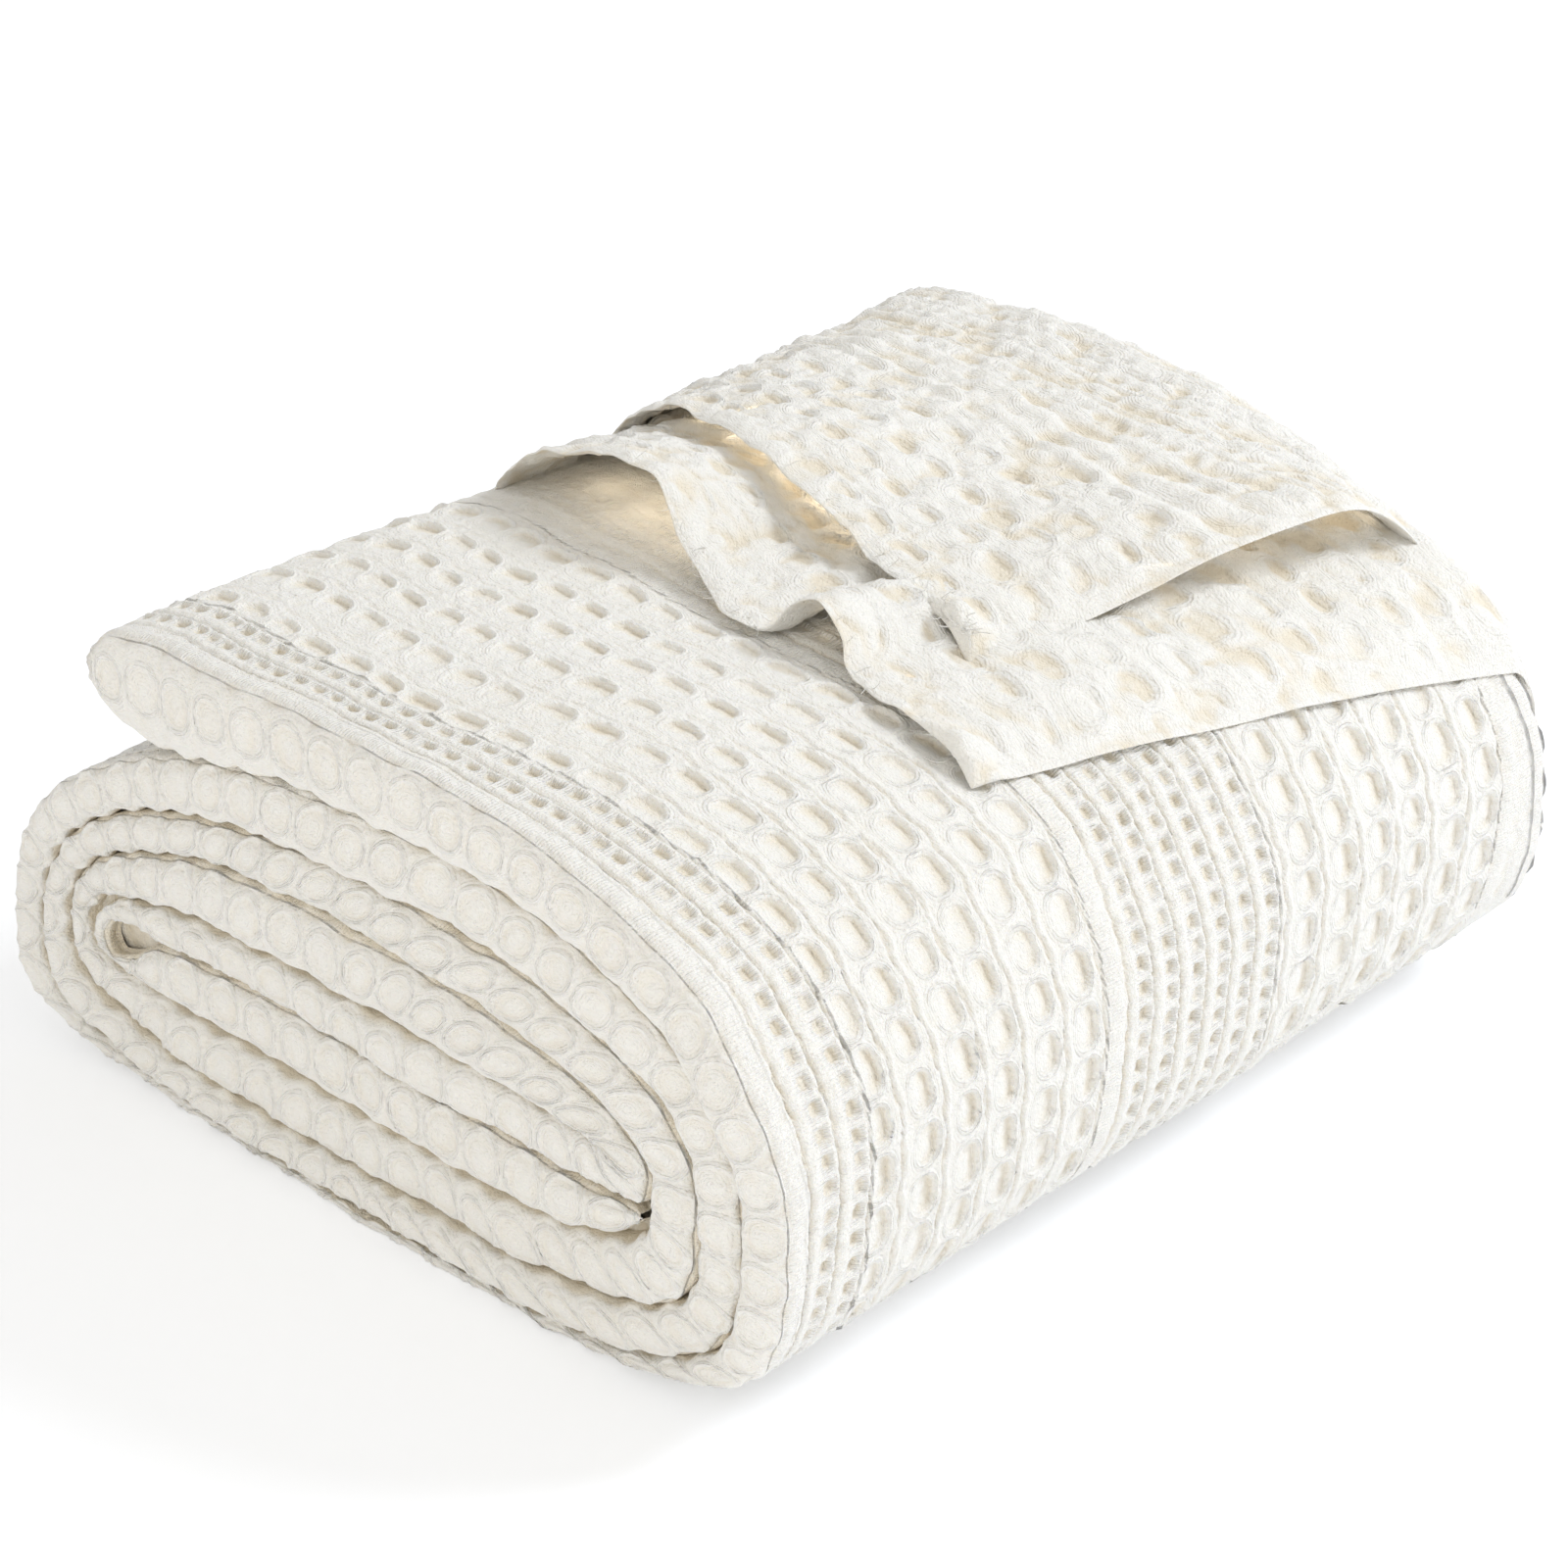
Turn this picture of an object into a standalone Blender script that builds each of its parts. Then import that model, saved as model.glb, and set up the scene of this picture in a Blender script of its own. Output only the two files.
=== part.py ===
"""Waffle weave cotton blanket, folded lengthwise and wound into a flattened roll.

One woven cloth is one solid. Its folded strip winds inwards from a fat fold at the upper left,
and two loose layers of the same cloth lie back over the far half of the top, ending in hemmed
corners. Metres, +Z up. X is the long way across the wound end, Y the axis of the roll with the
wound end at low Y. The fine weave relief isn't modelled here.
"""

import math

import bmesh
import bpy
from mathutils import Vector

# %% Driving dimensions

NEAR_END = -0.18  # where the folded edges of the strip show
FAR_END = 0.1868
TURN_GAP = 0.0008  # between one turn and the next
LIP_RADIUS = 0.008  # most rounding of a folded edge
FLAT_UNDERSIDE = 0.001  # how much of the round underside the weight presses flat
STEPS_PER_QUARTER = 9
LIP_ANGLES = (10, 35, 62, 90)  # degrees round each lip, from the end inwards
CREVICE_DEPTH = 0.022  # how deep the crevices between the turns run in from each end

# Where the outer side of the wound strip passes the sides of the roll, from the outside in.
# squareness: exponent of the rounded quarter that leads there, 2 for an ellipse.
# near, far: how far the folded edge stands back from each end there.
PASSES = (
    # side, x, z, squareness, near, far
    ("over the top", 0.0096, 0.172, 3.3, 0.0, 0.0096),
    ("round the right", 0.1672, 0.0744, 2.4, 0.0008, 0.0),
    ("underneath", 0.024, 0.0, 3.2, 0.0024, 0.0032),
    ("round the left", -0.1744, 0.0464, 4.2, 0.0, 0.0024),
    ("over the top", 0.008, 0.146, 2.05, 0.0024, 0.0072),
    ("round the right", 0.1496, 0.072, 2.4, 0.0024, 0.0032),
    ("underneath", 0.02, 0.004, 3.2, 0.0, 0.0048),
    ("round the left", -0.1612, 0.048, 4.0, 0.0008, 0.0032),
    ("over the top", 0.0, 0.1216, 2.1, 0.0032, 0.0048),
    ("round the right", 0.1324, 0.0704, 2.5, 0.0016, 0.0024),
    ("underneath", 0.008, 0.0176, 3.2, 0.0024, 0.0048),
    ("round the left", -0.1492, 0.0496, 3.4, 0.0016, 0.004),
    ("over the top", -0.016, 0.1024, 2.2, 0.0016, 0.0032),
    ("round the right", 0.1148, 0.072, 2.4, 0.0016, 0.0048),
    ("underneath", 0.008, 0.038, 3.2, 0.0032, 0.004),
    ("round the left", -0.138, 0.0512, 3.4, 0.0024, 0.0032),
    ("over the top", -0.016, 0.0788, 2.6, 0.0024, 0.0048),
)
FIRST_FOLD_TIP = Vector((-0.124, 0.1536))  # x, z of the fat fold where the strip ends
FIRST_FOLD_END = -0.0896  # where that fold's underside meets the turn below

# The innermost stretch doubles back on itself: its outer and inner side, in pairs.
FOLD_PINCH = Vector((0.0944, 0.0789))  # x, z inside the tight fold at its right end
INNER_FOLD = (
    # outer x, outer z, inner x, inner z
    (0.1116, 0.065, 0.0936, 0.0785),
    (0.0976, 0.061, 0.0896, 0.0782),
    (0.072, 0.0604, 0.072, 0.0782),
    (0.032, 0.061, 0.032, 0.0782),
    (-0.016, 0.0613, -0.016, 0.0779),
    (-0.056, 0.0613, -0.0576, 0.0773),
    (-0.088, 0.0616, -0.092, 0.0746),
    (-0.108, 0.0628, -0.1136, 0.0704),
    (-0.1232, 0.0604, -0.1288, 0.064),
    (-0.1304, 0.0528, -0.1366, 0.0536),
    (-0.1272, 0.0456, -0.1332, 0.0448),
    (-0.116, 0.05, -0.1184, 0.042),
    (-0.1, 0.0596, -0.0976, 0.0402),
    (-0.056, 0.0606, -0.056, 0.039),
    (-0.016, 0.0606, -0.016, 0.0386),
    (0.032, 0.0602, 0.032, 0.0388),
    (0.072, 0.0597, 0.072, 0.0412),
    (0.096, 0.06, 0.0944, 0.0464),
    (0.1064, 0.0612, 0.1072, 0.0532),
)

# How the roll sinks under its own weight towards the far end.
SETTLING = (
    # y, share of the near end's height
    (-0.18, 1.000),
    (-0.104, 0.990),
    (-0.024, 0.962),
    (0.08, 0.945),
    (0.1868, 0.935),
)

# Two loose layers. Each hangs from the fat fold and ends in a front edge along X and a hemmed
# right edge along Y. Corners are x, y on the roll, and lifts stand off the roll's surface.
SHEET = 0.0026
HEM_WIDTH = 0.0192
HEM_EXTRA = 0.0026
# Past bend start each layer turns down over the far end, on a radius. Both change across it.
LOWER_CORNERS = {
    "front left": (-0.1192, -0.016),
    "front right": (0.1176, -0.0448),
    "far left": (-0.1192, 0.2096),
    "far right": (0.16, 0.2096),
}
LOWER_BEND = (
    # x at the front edge, bend start, radius
    (-0.1192, 0.1768, 0.0088),
    (0.1176, 0.1768, 0.0088),
)
LOWER_LIFTS = (
    # x at the front edge, lift at front, behind it, half way, far, how far the edge sways forward
    (-0.1192, -0.004, -0.004, -0.004, -0.004, 0.0),
    (-0.1104, 0.0032, 0.0024, 0.0016, 0.0016, 0.0),
    (-0.0976, 0.0112, 0.0064, 0.0032, 0.0032, 0.0008),
    (-0.0808, 0.0192, 0.0104, 0.0048, 0.0032, 0.0),
    (-0.0632, 0.0264, 0.0128, 0.0056, 0.0032, -0.0008),
    (-0.0456, 0.0296, 0.0136, 0.0056, 0.0032, -0.0016),
    (-0.032, 0.028, 0.012, 0.0048, 0.0032, -0.0016),
    (-0.0216, 0.0184, 0.0096, 0.004, 0.0032, 0.0),
    (-0.0112, 0.0104, 0.0064, 0.0032, 0.0032, 0.0016),
    (0.0032, 0.0048, 0.004, 0.0032, 0.0032, 0.0064),
    (0.0208, 0.0036, 0.004, 0.0032, 0.0032, 0.0112),
    (0.0304, 0.004, 0.0032, 0.0032, 0.0032, 0.0088),
    (0.0376, 0.012, 0.0056, 0.0032, 0.0032, 0.0032),
    (0.0464, 0.0168, 0.008, 0.0032, 0.0032, 0.0),
    (0.0552, 0.012, 0.0072, 0.0032, 0.0032, 0.0),
    (0.064, 0.0056, 0.0048, 0.0032, 0.0032, 0.0032),
    (0.08, 0.0048, 0.0048, 0.004, 0.0032, 0.004),
    (0.1, 0.006, 0.006, 0.0052, 0.0048, 0.0016),
    (0.1176, 0.006, 0.006, 0.0052, 0.0048, 0.0),
)
UPPER_CORNERS = {
    "front left": (-0.1224, 0.036),
    "front right": (0.08, -0.004),
    "far left": (-0.1224, 0.232),
    "far right": (0.1216, 0.232),
}
UPPER_BEND = (
    # x at the front edge, bend start, radius
    (-0.1224, 0.1784, 0.012),
    (0.0, 0.1776, 0.0136),
    (0.048, 0.164, 0.0256),
    (0.08, 0.1424, 0.0464),
)
UPPER_LIFTS = (
    # x at the front edge, lift at front, behind it, half way, far, how far the edge sways forward
    (-0.1224, -0.0032, -0.0032, -0.0032, -0.0032, 0.0),
    (-0.1144, 0.0032, 0.0048, 0.0064, 0.008, -0.0032),
    (-0.1, 0.0128, 0.0128, 0.012, 0.0128, -0.0064),
    (-0.08, 0.02, 0.0184, 0.0152, 0.0136, -0.0048),
    (-0.056, 0.024, 0.0208, 0.016, 0.0136, -0.0016),
    (-0.028, 0.0256, 0.0208, 0.016, 0.0128, 0.0),
    (0.0, 0.0192, 0.0168, 0.0152, 0.012, 0.0),
    (0.024, 0.0136, 0.0144, 0.016, 0.0112, 0.0),
    (0.048, 0.0104, 0.0128, 0.0184, 0.0104, 0.0),
    (0.064, 0.0088, 0.0128, 0.0224, 0.0104, 0.0),
    (0.08, 0.008, 0.0136, 0.0256, 0.0112, 0.0),
)
RIBS = (0.0, 0.25, 0.55, 0.85)  # where those four lifts stand, from the front edge to the far end
SHEET_STEPS_X = 30
SHEET_STEPS_Y = 12


# %% Small helpers


def between(table, column, at):
    """Smooth value of a column of a table whose first column is the position."""
    spots = [row[0] for row in table]
    values = [row[column] for row in table]
    if at <= spots[0]:
        return values[0]
    if at >= spots[-1]:
        return values[-1]
    i = max(k for k in range(len(spots) - 1) if spots[k] <= at)
    width = spots[i + 1] - spots[i]
    t = (at - spots[i]) / width

    def slope(k):
        if k == 0 or k == len(spots) - 1:
            return 0.0
        before = (values[k] - values[k - 1]) / (spots[k] - spots[k - 1])
        after = (values[k + 1] - values[k]) / (spots[k + 1] - spots[k])
        if before * after <= 0:
            return 0.0
        return 2 * before * after / (before + after)

    rise = (2 * t**3 - 3 * t**2 + 1) * values[i] + (3 * t**2 - 2 * t**3) * values[i + 1]
    lean = (t**3 - 2 * t**2 + t) * slope(i) + (t**3 - t**2) * slope(i + 1)
    return rise + width * lean


def smoothstep(low, high, value):
    t = min(1.0, max(0.0, (value - low) / (high - low)))
    return t * t * (3 - 2 * t)


def settled(y):
    return between(SETTLING, 1, y)


# %% The wound strip


def quarter(start, end, squareness, ends_flat):
    """Rounded quarter from start to end, without its first point."""
    points = []
    for step in range(1, STEPS_PER_QUARTER + 1):
        angle = math.pi / 2 * step / STEPS_PER_QUARTER
        along = math.sin(angle) ** (2 / squareness)
        across = 1 - math.cos(angle) ** (2 / squareness)
        share_x, share_z = (along, across) if ends_flat else (across, along)
        points.append(
            Vector((start.x + share_x * (end.x - start.x), start.y + share_z * (end.y - start.y)))
        )
    return points


def outer_side():
    """Outer side of the strip in section and the recesses of its lips, from the top inwards."""
    points = [Vector(PASSES[0][1:3])]
    recesses = [Vector(PASSES[0][4:6])]
    for before, after in zip(PASSES, PASSES[1:]):
        # A quarter that leaves the top or the bottom starts flat and ends upright.
        leaves_flat = before[0] in ("over the top", "underneath")
        points += quarter(points[-1], Vector(after[1:3]), after[3], leaves_flat)
        for step in range(1, STEPS_PER_QUARTER + 1):
            blend = smoothstep(0, STEPS_PER_QUARTER, step)
            recesses.append(Vector(before[4:6]).lerp(Vector(after[4:6]), blend))
    for point in points[: 3 * STEPS_PER_QUARTER]:
        point.y = max(point.y, FLAT_UNDERSIDE)
    return points, recesses


def height_on_next_turn(points, x):
    """Height of the turn below the fat fold at x."""
    first = 3 * STEPS_PER_QUARTER
    stretch = points[first : first + 2 * STEPS_PER_QUARTER]
    for before, after in zip(stretch, stretch[1:]):
        if before.x <= x <= after.x:
            share = (x - before.x) / (after.x - before.x)
            return before.y + share * (after.y - before.y)
    raise ValueError(f"no turn below x = {x}")


def first_fold(points):
    """Pairs from the tip of the fat fold to the top of the roll."""
    pairs = []
    tip, top = FIRST_FOLD_TIP, points[0]
    for step in range(1, STEPS_PER_QUARTER + 1):
        angle = math.pi / 2 * step / (STEPS_PER_QUARTER + 1)
        squareness = PASSES[0][3]
        x = tip.x + (1 - math.cos(angle) ** (2 / squareness)) * (top.x - tip.x)
        z = tip.y + math.sin(angle) ** (2 / squareness) * (top.y - tip.y)
        below = height_on_next_turn(points, max(x, FIRST_FOLD_END)) + TURN_GAP
        if x < FIRST_FOLD_END:
            reach = (FIRST_FOLD_END - x) / (FIRST_FOLD_END - tip.x)
            below = tip.y - (tip.y - below) * (1 - reach**2.8) ** (1 / 2.8)
        pairs.append((Vector((x, z)), Vector((x, below)), Vector(PASSES[0][4:6])))
    return pairs


def strip_pairs():
    """(outer side, inner side, recesses) all along the strip, from its fat fold inwards."""
    points, recesses = outer_side()
    turn = 4 * STEPS_PER_QUARTER
    pairs = first_fold(points)
    for i in range(len(points) - turn):
        outer, inner = points[i], points[i + turn]
        inner = inner + (outer - inner).normalized() * TURN_GAP
        pairs.append((outer, inner, recesses[i]))
    last = len(points) - turn
    inner_start = pairs[-1][1]
    for step in range(1, STEPS_PER_QUARTER + 1):
        share = math.sin(math.pi / 2 * step / STEPS_PER_QUARTER)
        inner = inner_start.lerp(FOLD_PINCH, share)
        pairs.append((points[last - 1 + step], inner, recesses[last - 1 + step]))
    for row in INNER_FOLD:
        pairs.append((Vector(row[:2]), Vector(row[2:]), recesses[last]))
    return pairs


def stations():
    """(end, y, angle round the lip) from the near end to the far end."""
    rows = [("near", NEAR_END, angle) for angle in LIP_ANGLES]
    rows += [("middle", y, 90) for y, share in SETTLING[1:-1]]
    rows += [("far", FAR_END, angle) for angle in reversed(LIP_ANGLES)]
    return rows


def strip_mesh():
    """The wound strip: its section swept along Y between two rows of rounded lips."""
    mesh = bmesh.new()
    pairs = strip_pairs()
    rings = []
    for end, y, angle in stations():
        ring = []
        turned = math.radians(angle)
        for outer, inner, recesses in pairs:
            middle, half = (outer + inner) / 2, (outer - inner) / 2
            radius = min(LIP_RADIUS, 0.92 * half.length)
            half = half * (1 - radius * (1 - math.sin(turned)) / half.length)
            back = radius * (1 - math.cos(turned))
            at = {
                "near": y + recesses[0] + back,
                "middle": y,
                "far": y - recesses[1] - back,
            }[end]
            height = settled(at)
            for side in (middle + half, middle - half):
                level = (side.y - FLAT_UNDERSIDE) * height
                ring.append(mesh.verts.new((side.x, at, level)))
        rings.append(ring)
    count = len(pairs)
    loop = [2 * i for i in range(count)] + [2 * i + 1 for i in reversed(range(count))]
    for ring, following in zip(rings, rings[1:]):
        for a, b in zip(loop, loop[1:] + loop[:1]):
            mesh.faces.new((ring[a], ring[b], following[b], following[a]))
    for ring in (rings[0], rings[-1]):
        for i in range(count - 1):
            mesh.faces.new((ring[2 * i], ring[2 * i + 1], ring[2 * i + 3], ring[2 * i + 2]))
    bmesh.ops.recalc_face_normals(mesh, faces=mesh.faces)
    return mesh


def core_mesh():
    """The pressed inside of the roll, which closes every crevice past its depth from the ends."""
    middles = [(outer + inner) / 2 for outer, inner, recesses in strip_pairs()]
    clear = FIRST_FOLD_END + LIP_RADIUS
    first = next(i for i, spot in enumerate(middles) if spot.x > clear)
    once_round = STEPS_PER_QUARTER + 4 * STEPS_PER_QUARTER
    last = max(i for i in range(3 * STEPS_PER_QUARTER, once_round) if middles[i].x < clear)
    outline = middles[first : last + 2]
    near, far = NEAR_END + CREVICE_DEPTH, FAR_END - CREVICE_DEPTH
    mesh = bmesh.new()
    rings = []
    for y in (near, *(y for y, share in SETTLING[1:-1]), far):
        spots = [(spot.x, y, (spot.y - FLAT_UNDERSIDE) * settled(y)) for spot in outline]
        rings.append([mesh.verts.new(spot) for spot in spots])
    count = len(outline)
    for ring, following in zip(rings, rings[1:]):
        for a in range(count):
            b = (a + 1) % count
            mesh.faces.new((ring[a], ring[b], following[b], following[a]))
    mesh.faces.new(rings[0])
    mesh.faces.new(rings[-1])
    bmesh.ops.recalc_face_normals(mesh, faces=mesh.faces)
    return mesh


# %% The loose layers


def roll_surface(x, y):
    """Point on the top or right of the roll, and the way out of it there."""
    left, top, right = FIRST_FOLD_TIP, Vector(PASSES[0][1:3]), Vector(PASSES[1][1:3])
    over, down = PASSES[0][3], PASSES[1][3]

    def height(at):
        if at < top.x:
            reach = min(1.0, (top.x - at) / (top.x - left.x))
            return left.y + (top.y - left.y) * (1 - reach**over) ** (1 / over)
        reach = min(1.0, (at - top.x) / (right.x - top.x))
        return right.y + (top.y - right.y) * (1 - reach**down) ** (1 / down)

    small = 0.002
    slope = (height(x + small) - height(x - small)) / (2 * small)
    out = Vector((-slope, 0, 1)).normalized()
    return Vector((x, y, (height(x) - FLAT_UNDERSIDE) * settled(y))), out


def bent_over(y, start, radius):
    """Where a spot y along a layer ends up, and how far down, past the bend at the far end."""
    beyond = max(0.0, y - start)
    angle = min(math.pi / 2, beyond / radius)
    hanging = beyond - angle * radius
    return min(y, start) + radius * math.sin(angle), radius * (1 - math.cos(angle)) + hanging


def loose_layer(corners, lifts, bend):
    """A thin sheet over the roll, thicker at its hem, as one closed body."""
    x_first, x_last = lifts[0][0], lifts[-1][0]
    middle, hem = [], []
    for row in range(SHEET_STEPS_Y + 1):
        v = row / SHEET_STEPS_Y
        line = []
        for column in range(SHEET_STEPS_X + 1):
            u = column / SHEET_STEPS_X
            x, y = (
                (1 - v) * ((1 - u) * corners["front left"][k] + u * corners["front right"][k])
                + v * ((1 - u) * corners["far left"][k] + u * corners["far right"][k])
                for k in range(2)
            )
            spot = x_first + u * (x_last - x_first)
            ribs = [(RIBS[k], between(lifts, k + 1, spot)) for k in range(len(RIBS))]
            y -= between(lifts, 5, spot) * (1 - smoothstep(0, RIBS[1], v))
            start = between(bend, 1, spot)
            y, drop = bent_over(y, start, between(bend, 2, spot))
            surface, out = roll_surface(x, min(y, start))
            point = surface + between(ribs, 1, v) * out
            line.append(Vector((point.x, y, point.z - drop)))
        middle.append(line)
    mesh = bmesh.new()
    sides = {}
    for row in range(SHEET_STEPS_Y + 1):
        for column in range(SHEET_STEPS_X + 1):
            here = middle[row][column]
            along = middle[row][min(column + 1, SHEET_STEPS_X)] - middle[row][max(column - 1, 0)]
            across = middle[min(row + 1, SHEET_STEPS_Y)][column] - middle[max(row - 1, 0)][column]
            out = along.cross(across).normalized()
            edge = (middle[row][SHEET_STEPS_X] - here).length
            thick = SHEET + HEM_EXTRA * (1 - smoothstep(0.6 * HEM_WIDTH, HEM_WIDTH, edge))
            for side, share in (("top", thick - SHEET / 2), ("under", -SHEET / 2)):
                sides[side, row, column] = mesh.verts.new(here + share * out)
    for row in range(SHEET_STEPS_Y):
        for column in range(SHEET_STEPS_X):
            for side in ("top", "under"):
                mesh.faces.new(
                    [
                        sides[side, row + a, column + b]
                        for a, b in ((0, 0), (0, 1), (1, 1), (1, 0))
                    ]
                )
    rim = [(0, c) for c in range(SHEET_STEPS_X)]
    rim += [(r, SHEET_STEPS_X) for r in range(SHEET_STEPS_Y)]
    rim += [(SHEET_STEPS_Y, c) for c in range(SHEET_STEPS_X, 0, -1)]
    rim += [(r, 0) for r in range(SHEET_STEPS_Y, 0, -1)]
    for a, b in zip(rim, rim[1:] + rim[:1]):
        mesh.faces.new(
            (sides["top", *a], sides["top", *b], sides["under", *b], sides["under", *a])
        )
    bmesh.ops.recalc_face_normals(mesh, faces=mesh.faces)
    return mesh


# %% Objects


def cotton():
    material = bpy.data.materials.new("cotton")
    material.use_nodes = True
    shader = material.node_tree.nodes["Principled BSDF"]
    shader.inputs["Base Color"].default_value = (0.83, 0.80, 0.73, 1)
    shader.inputs["Roughness"].default_value = 0.92
    shader.inputs["Metallic"].default_value = 0.0
    return material


def add_object(name, mesh, centre):
    data = bpy.data.meshes.new(name)
    for vertex in mesh.verts:
        vertex.co -= centre
    mesh.to_mesh(data)
    mesh.free()
    obj = bpy.data.objects.new(name, data)
    bpy.context.scene.collection.objects.link(obj)
    return obj


def build():
    for obj in list(bpy.data.objects):
        bpy.data.objects.remove(obj)
    roll = strip_mesh()
    layers = {
        "core": core_mesh(),
        "lower_layer": loose_layer(LOWER_CORNERS, LOWER_LIFTS, LOWER_BEND),
        "upper_layer": loose_layer(UPPER_CORNERS, UPPER_LIFTS, UPPER_BEND),
    }
    spots = [vertex.co for mesh in (roll, *layers.values()) for vertex in mesh.verts]
    centre = [(min(p[k] for p in spots) + max(p[k] for p in spots)) / 2 for k in range(2)]
    centre = Vector((*centre, min(p.z for p in spots)))
    blanket = add_object("blanket", roll, centre)
    blanket.data.materials.append(cotton())
    for name, mesh in layers.items():
        layer = add_object(name, mesh, centre)
        layer.hide_render = True
        layer.display_type = "WIRE"
        join = blanket.modifiers.new(f"join {name}", "BOOLEAN")
        join.operation = "UNION"
        join.solver = "EXACT"
        join.object = layer
    blanket.data.shade_smooth()
    blanket.data.set_sharp_from_angle(angle=math.radians(50))


build()
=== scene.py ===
# %% [markdown]
# # A rolled waffle weave blanket
# The real thing is one thick cotton cloth. Its honeycomb weave pulls up into cords, with a sunk
# oval cell between them, and bands of finer cells run between the coarse fields. The cloth is
# folded into a long strip and wound into a flat roll, and two loose layers lie back over the top.
# It fixes the size and the place of all that follows.

# %% Load the frame
import math

import bmesh
import bpy
import numpy as np
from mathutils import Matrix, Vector


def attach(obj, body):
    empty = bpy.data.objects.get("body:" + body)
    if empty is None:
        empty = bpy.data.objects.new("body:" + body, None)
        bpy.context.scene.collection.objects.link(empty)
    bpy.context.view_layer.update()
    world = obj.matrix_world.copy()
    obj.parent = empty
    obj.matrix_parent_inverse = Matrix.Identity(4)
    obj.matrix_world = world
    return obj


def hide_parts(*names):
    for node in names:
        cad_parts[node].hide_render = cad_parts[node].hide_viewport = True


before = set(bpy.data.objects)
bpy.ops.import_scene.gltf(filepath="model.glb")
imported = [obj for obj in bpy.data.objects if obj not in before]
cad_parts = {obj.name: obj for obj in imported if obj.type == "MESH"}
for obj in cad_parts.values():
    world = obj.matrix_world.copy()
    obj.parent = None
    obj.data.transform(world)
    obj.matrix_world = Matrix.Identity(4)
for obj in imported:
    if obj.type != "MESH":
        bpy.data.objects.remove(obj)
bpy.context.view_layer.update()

# %% [markdown]
# ## The camera
# The photograph looks down on one corner from a long way off, so the roll's edges hardly
# converge. A long lens gives the same. The numbers come from fitting the roll's straight edges.

# %% Camera
AZIMUTH, ELEVATION, DISTANCE = 43.6, 29.8, 1.4290  # degrees, degrees, metres
LOOK_AT = Vector((0.0036, -0.00635, 0.0848))
PHOTO_WIDTH, FOCAL_LENGTH, SENSOR = 1600, 4550, 36  # pixels, pixels, millimetres


def in_scene(name, data):
    """A new object in the scene that shows this data."""
    obj = bpy.data.objects.new(name, data)
    bpy.context.scene.collection.objects.link(obj)
    return obj


def aim(obj, place, way):
    obj.location, obj.rotation_mode = place, "QUATERNION"
    obj.rotation_quaternion = way.to_track_quat("-Z", "Y")


turn, tilt = math.radians(AZIMUTH), math.radians(ELEVATION)
backwards = Vector(
    (math.sin(turn) * math.cos(tilt), -math.cos(turn) * math.cos(tilt), math.sin(tilt))
)
lens = bpy.data.cameras.new("camera")
lens.lens = SENSOR * FOCAL_LENGTH / PHOTO_WIDTH
bpy.context.scene.camera = in_scene("camera", lens)
aim(bpy.context.scene.camera, LOOK_AT + DISTANCE * backwards, -backwards)
print("lens", round(lens.lens, 1), "mm")

# %% [markdown]
# ## Small helpers
# Every surface here is a function of two distances along the cloth. Such a function can be
# sampled as finely as a piece needs, and two pieces that sample the same one meet without a seam.
# `between` reads a short table as a smooth curve, and `scatter` gives every cell of the weave its
# own repeatable accident.

# %% Curves and scatter
TINY = 1e-12  # keeps a vector of no length from dividing by zero


def unit(vectors):
    return vectors / (np.linalg.norm(vectors, axis=-1)[..., None] + TINY)


def distance_along(points):
    return np.r_[0, np.cumsum(np.linalg.norm(np.diff(points, axis=0), axis=1))]


def ease(low, high, value):
    """0 below low, 1 above high, and smooth between."""
    t = np.clip((value - low) / (high - low), 0, 1)
    return t * t * (3 - 2 * t)


def blend(first, second, share):
    return (1 - share) * first + share * second


def bump(distance, width):
    return np.exp(-((distance / width) ** 2))


def oval(x, y, power):
    """How far out x, y lies: 1 on the edge of a rounded square of half size 1."""
    return (np.abs(x) ** power + np.abs(y) ** power) ** (1 / power)


def smooth_through(spots, values, at):
    """Smooth curve through values at spots. It never swings past a value."""
    spots, at = np.array(spots, float), np.clip(at, spots[0], spots[-1])
    values = np.stack([np.broadcast_to(value, at.shape) for value in values])
    step = np.diff(spots)
    rise = np.diff(values, axis=0) / step.reshape(-1, *[1] * at.ndim)
    before, after = rise[:-1], rise[1:]
    same = before * after > 0
    slope = np.zeros(values.shape)
    slope[1:-1][same] = (2 * before * after)[same] / (before + after)[same]
    i = np.clip(np.searchsorted(spots, at, side="right") - 1, 0, len(step) - 1)
    t = (at - spots[i]) / step[i]

    def pick(rows, k):
        return np.take_along_axis(rows, k[None], 0)[0]

    height = (2 * t**3 - 3 * t**2 + 1) * pick(values, i)
    height = height + (3 * t**2 - 2 * t**3) * pick(values, i + 1)
    lean = (t**3 - 2 * t**2 + t) * pick(slope, i) + (t**3 - t**2) * pick(slope, i + 1)
    return height + step[i] * lean


def between(table, column, at):
    """Smooth value of a column of a table whose first column is the position."""
    spots, values = zip(*((row[0], row[column]) for row in table))
    return smooth_through(spots, values, np.asarray(at, float))


def scatter(a, b, salt):
    """A repeatable number from -1 to 1 for each pair of whole numbers."""
    value = np.sin(a * 127.1 + b * 311.7 + salt * 74.7) * 43758.5453
    return 2 * (value - np.floor(value)) - 1


def ripples(a, b, size, salt):
    """Soft unevenness, about size across, from -1 to 1."""
    a, b = a / size, b / size
    i, j = np.floor(a), np.floor(b)
    p, q = ease(0, 1, a - i), ease(0, 1, b - j)
    low = blend(scatter(i, j, salt), scatter(i + 1, j, salt), p)
    high = blend(scatter(i, j + 1, salt), scatter(i + 1, j + 1, salt), p)
    return blend(low, high, q)


def uneven(a, b, *waves):
    """Ripples on ripples. Each wave is its height, its size and its salt."""
    return sum(height * ripples(a, b, size, salt) for height, size, salt in waves)


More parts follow.
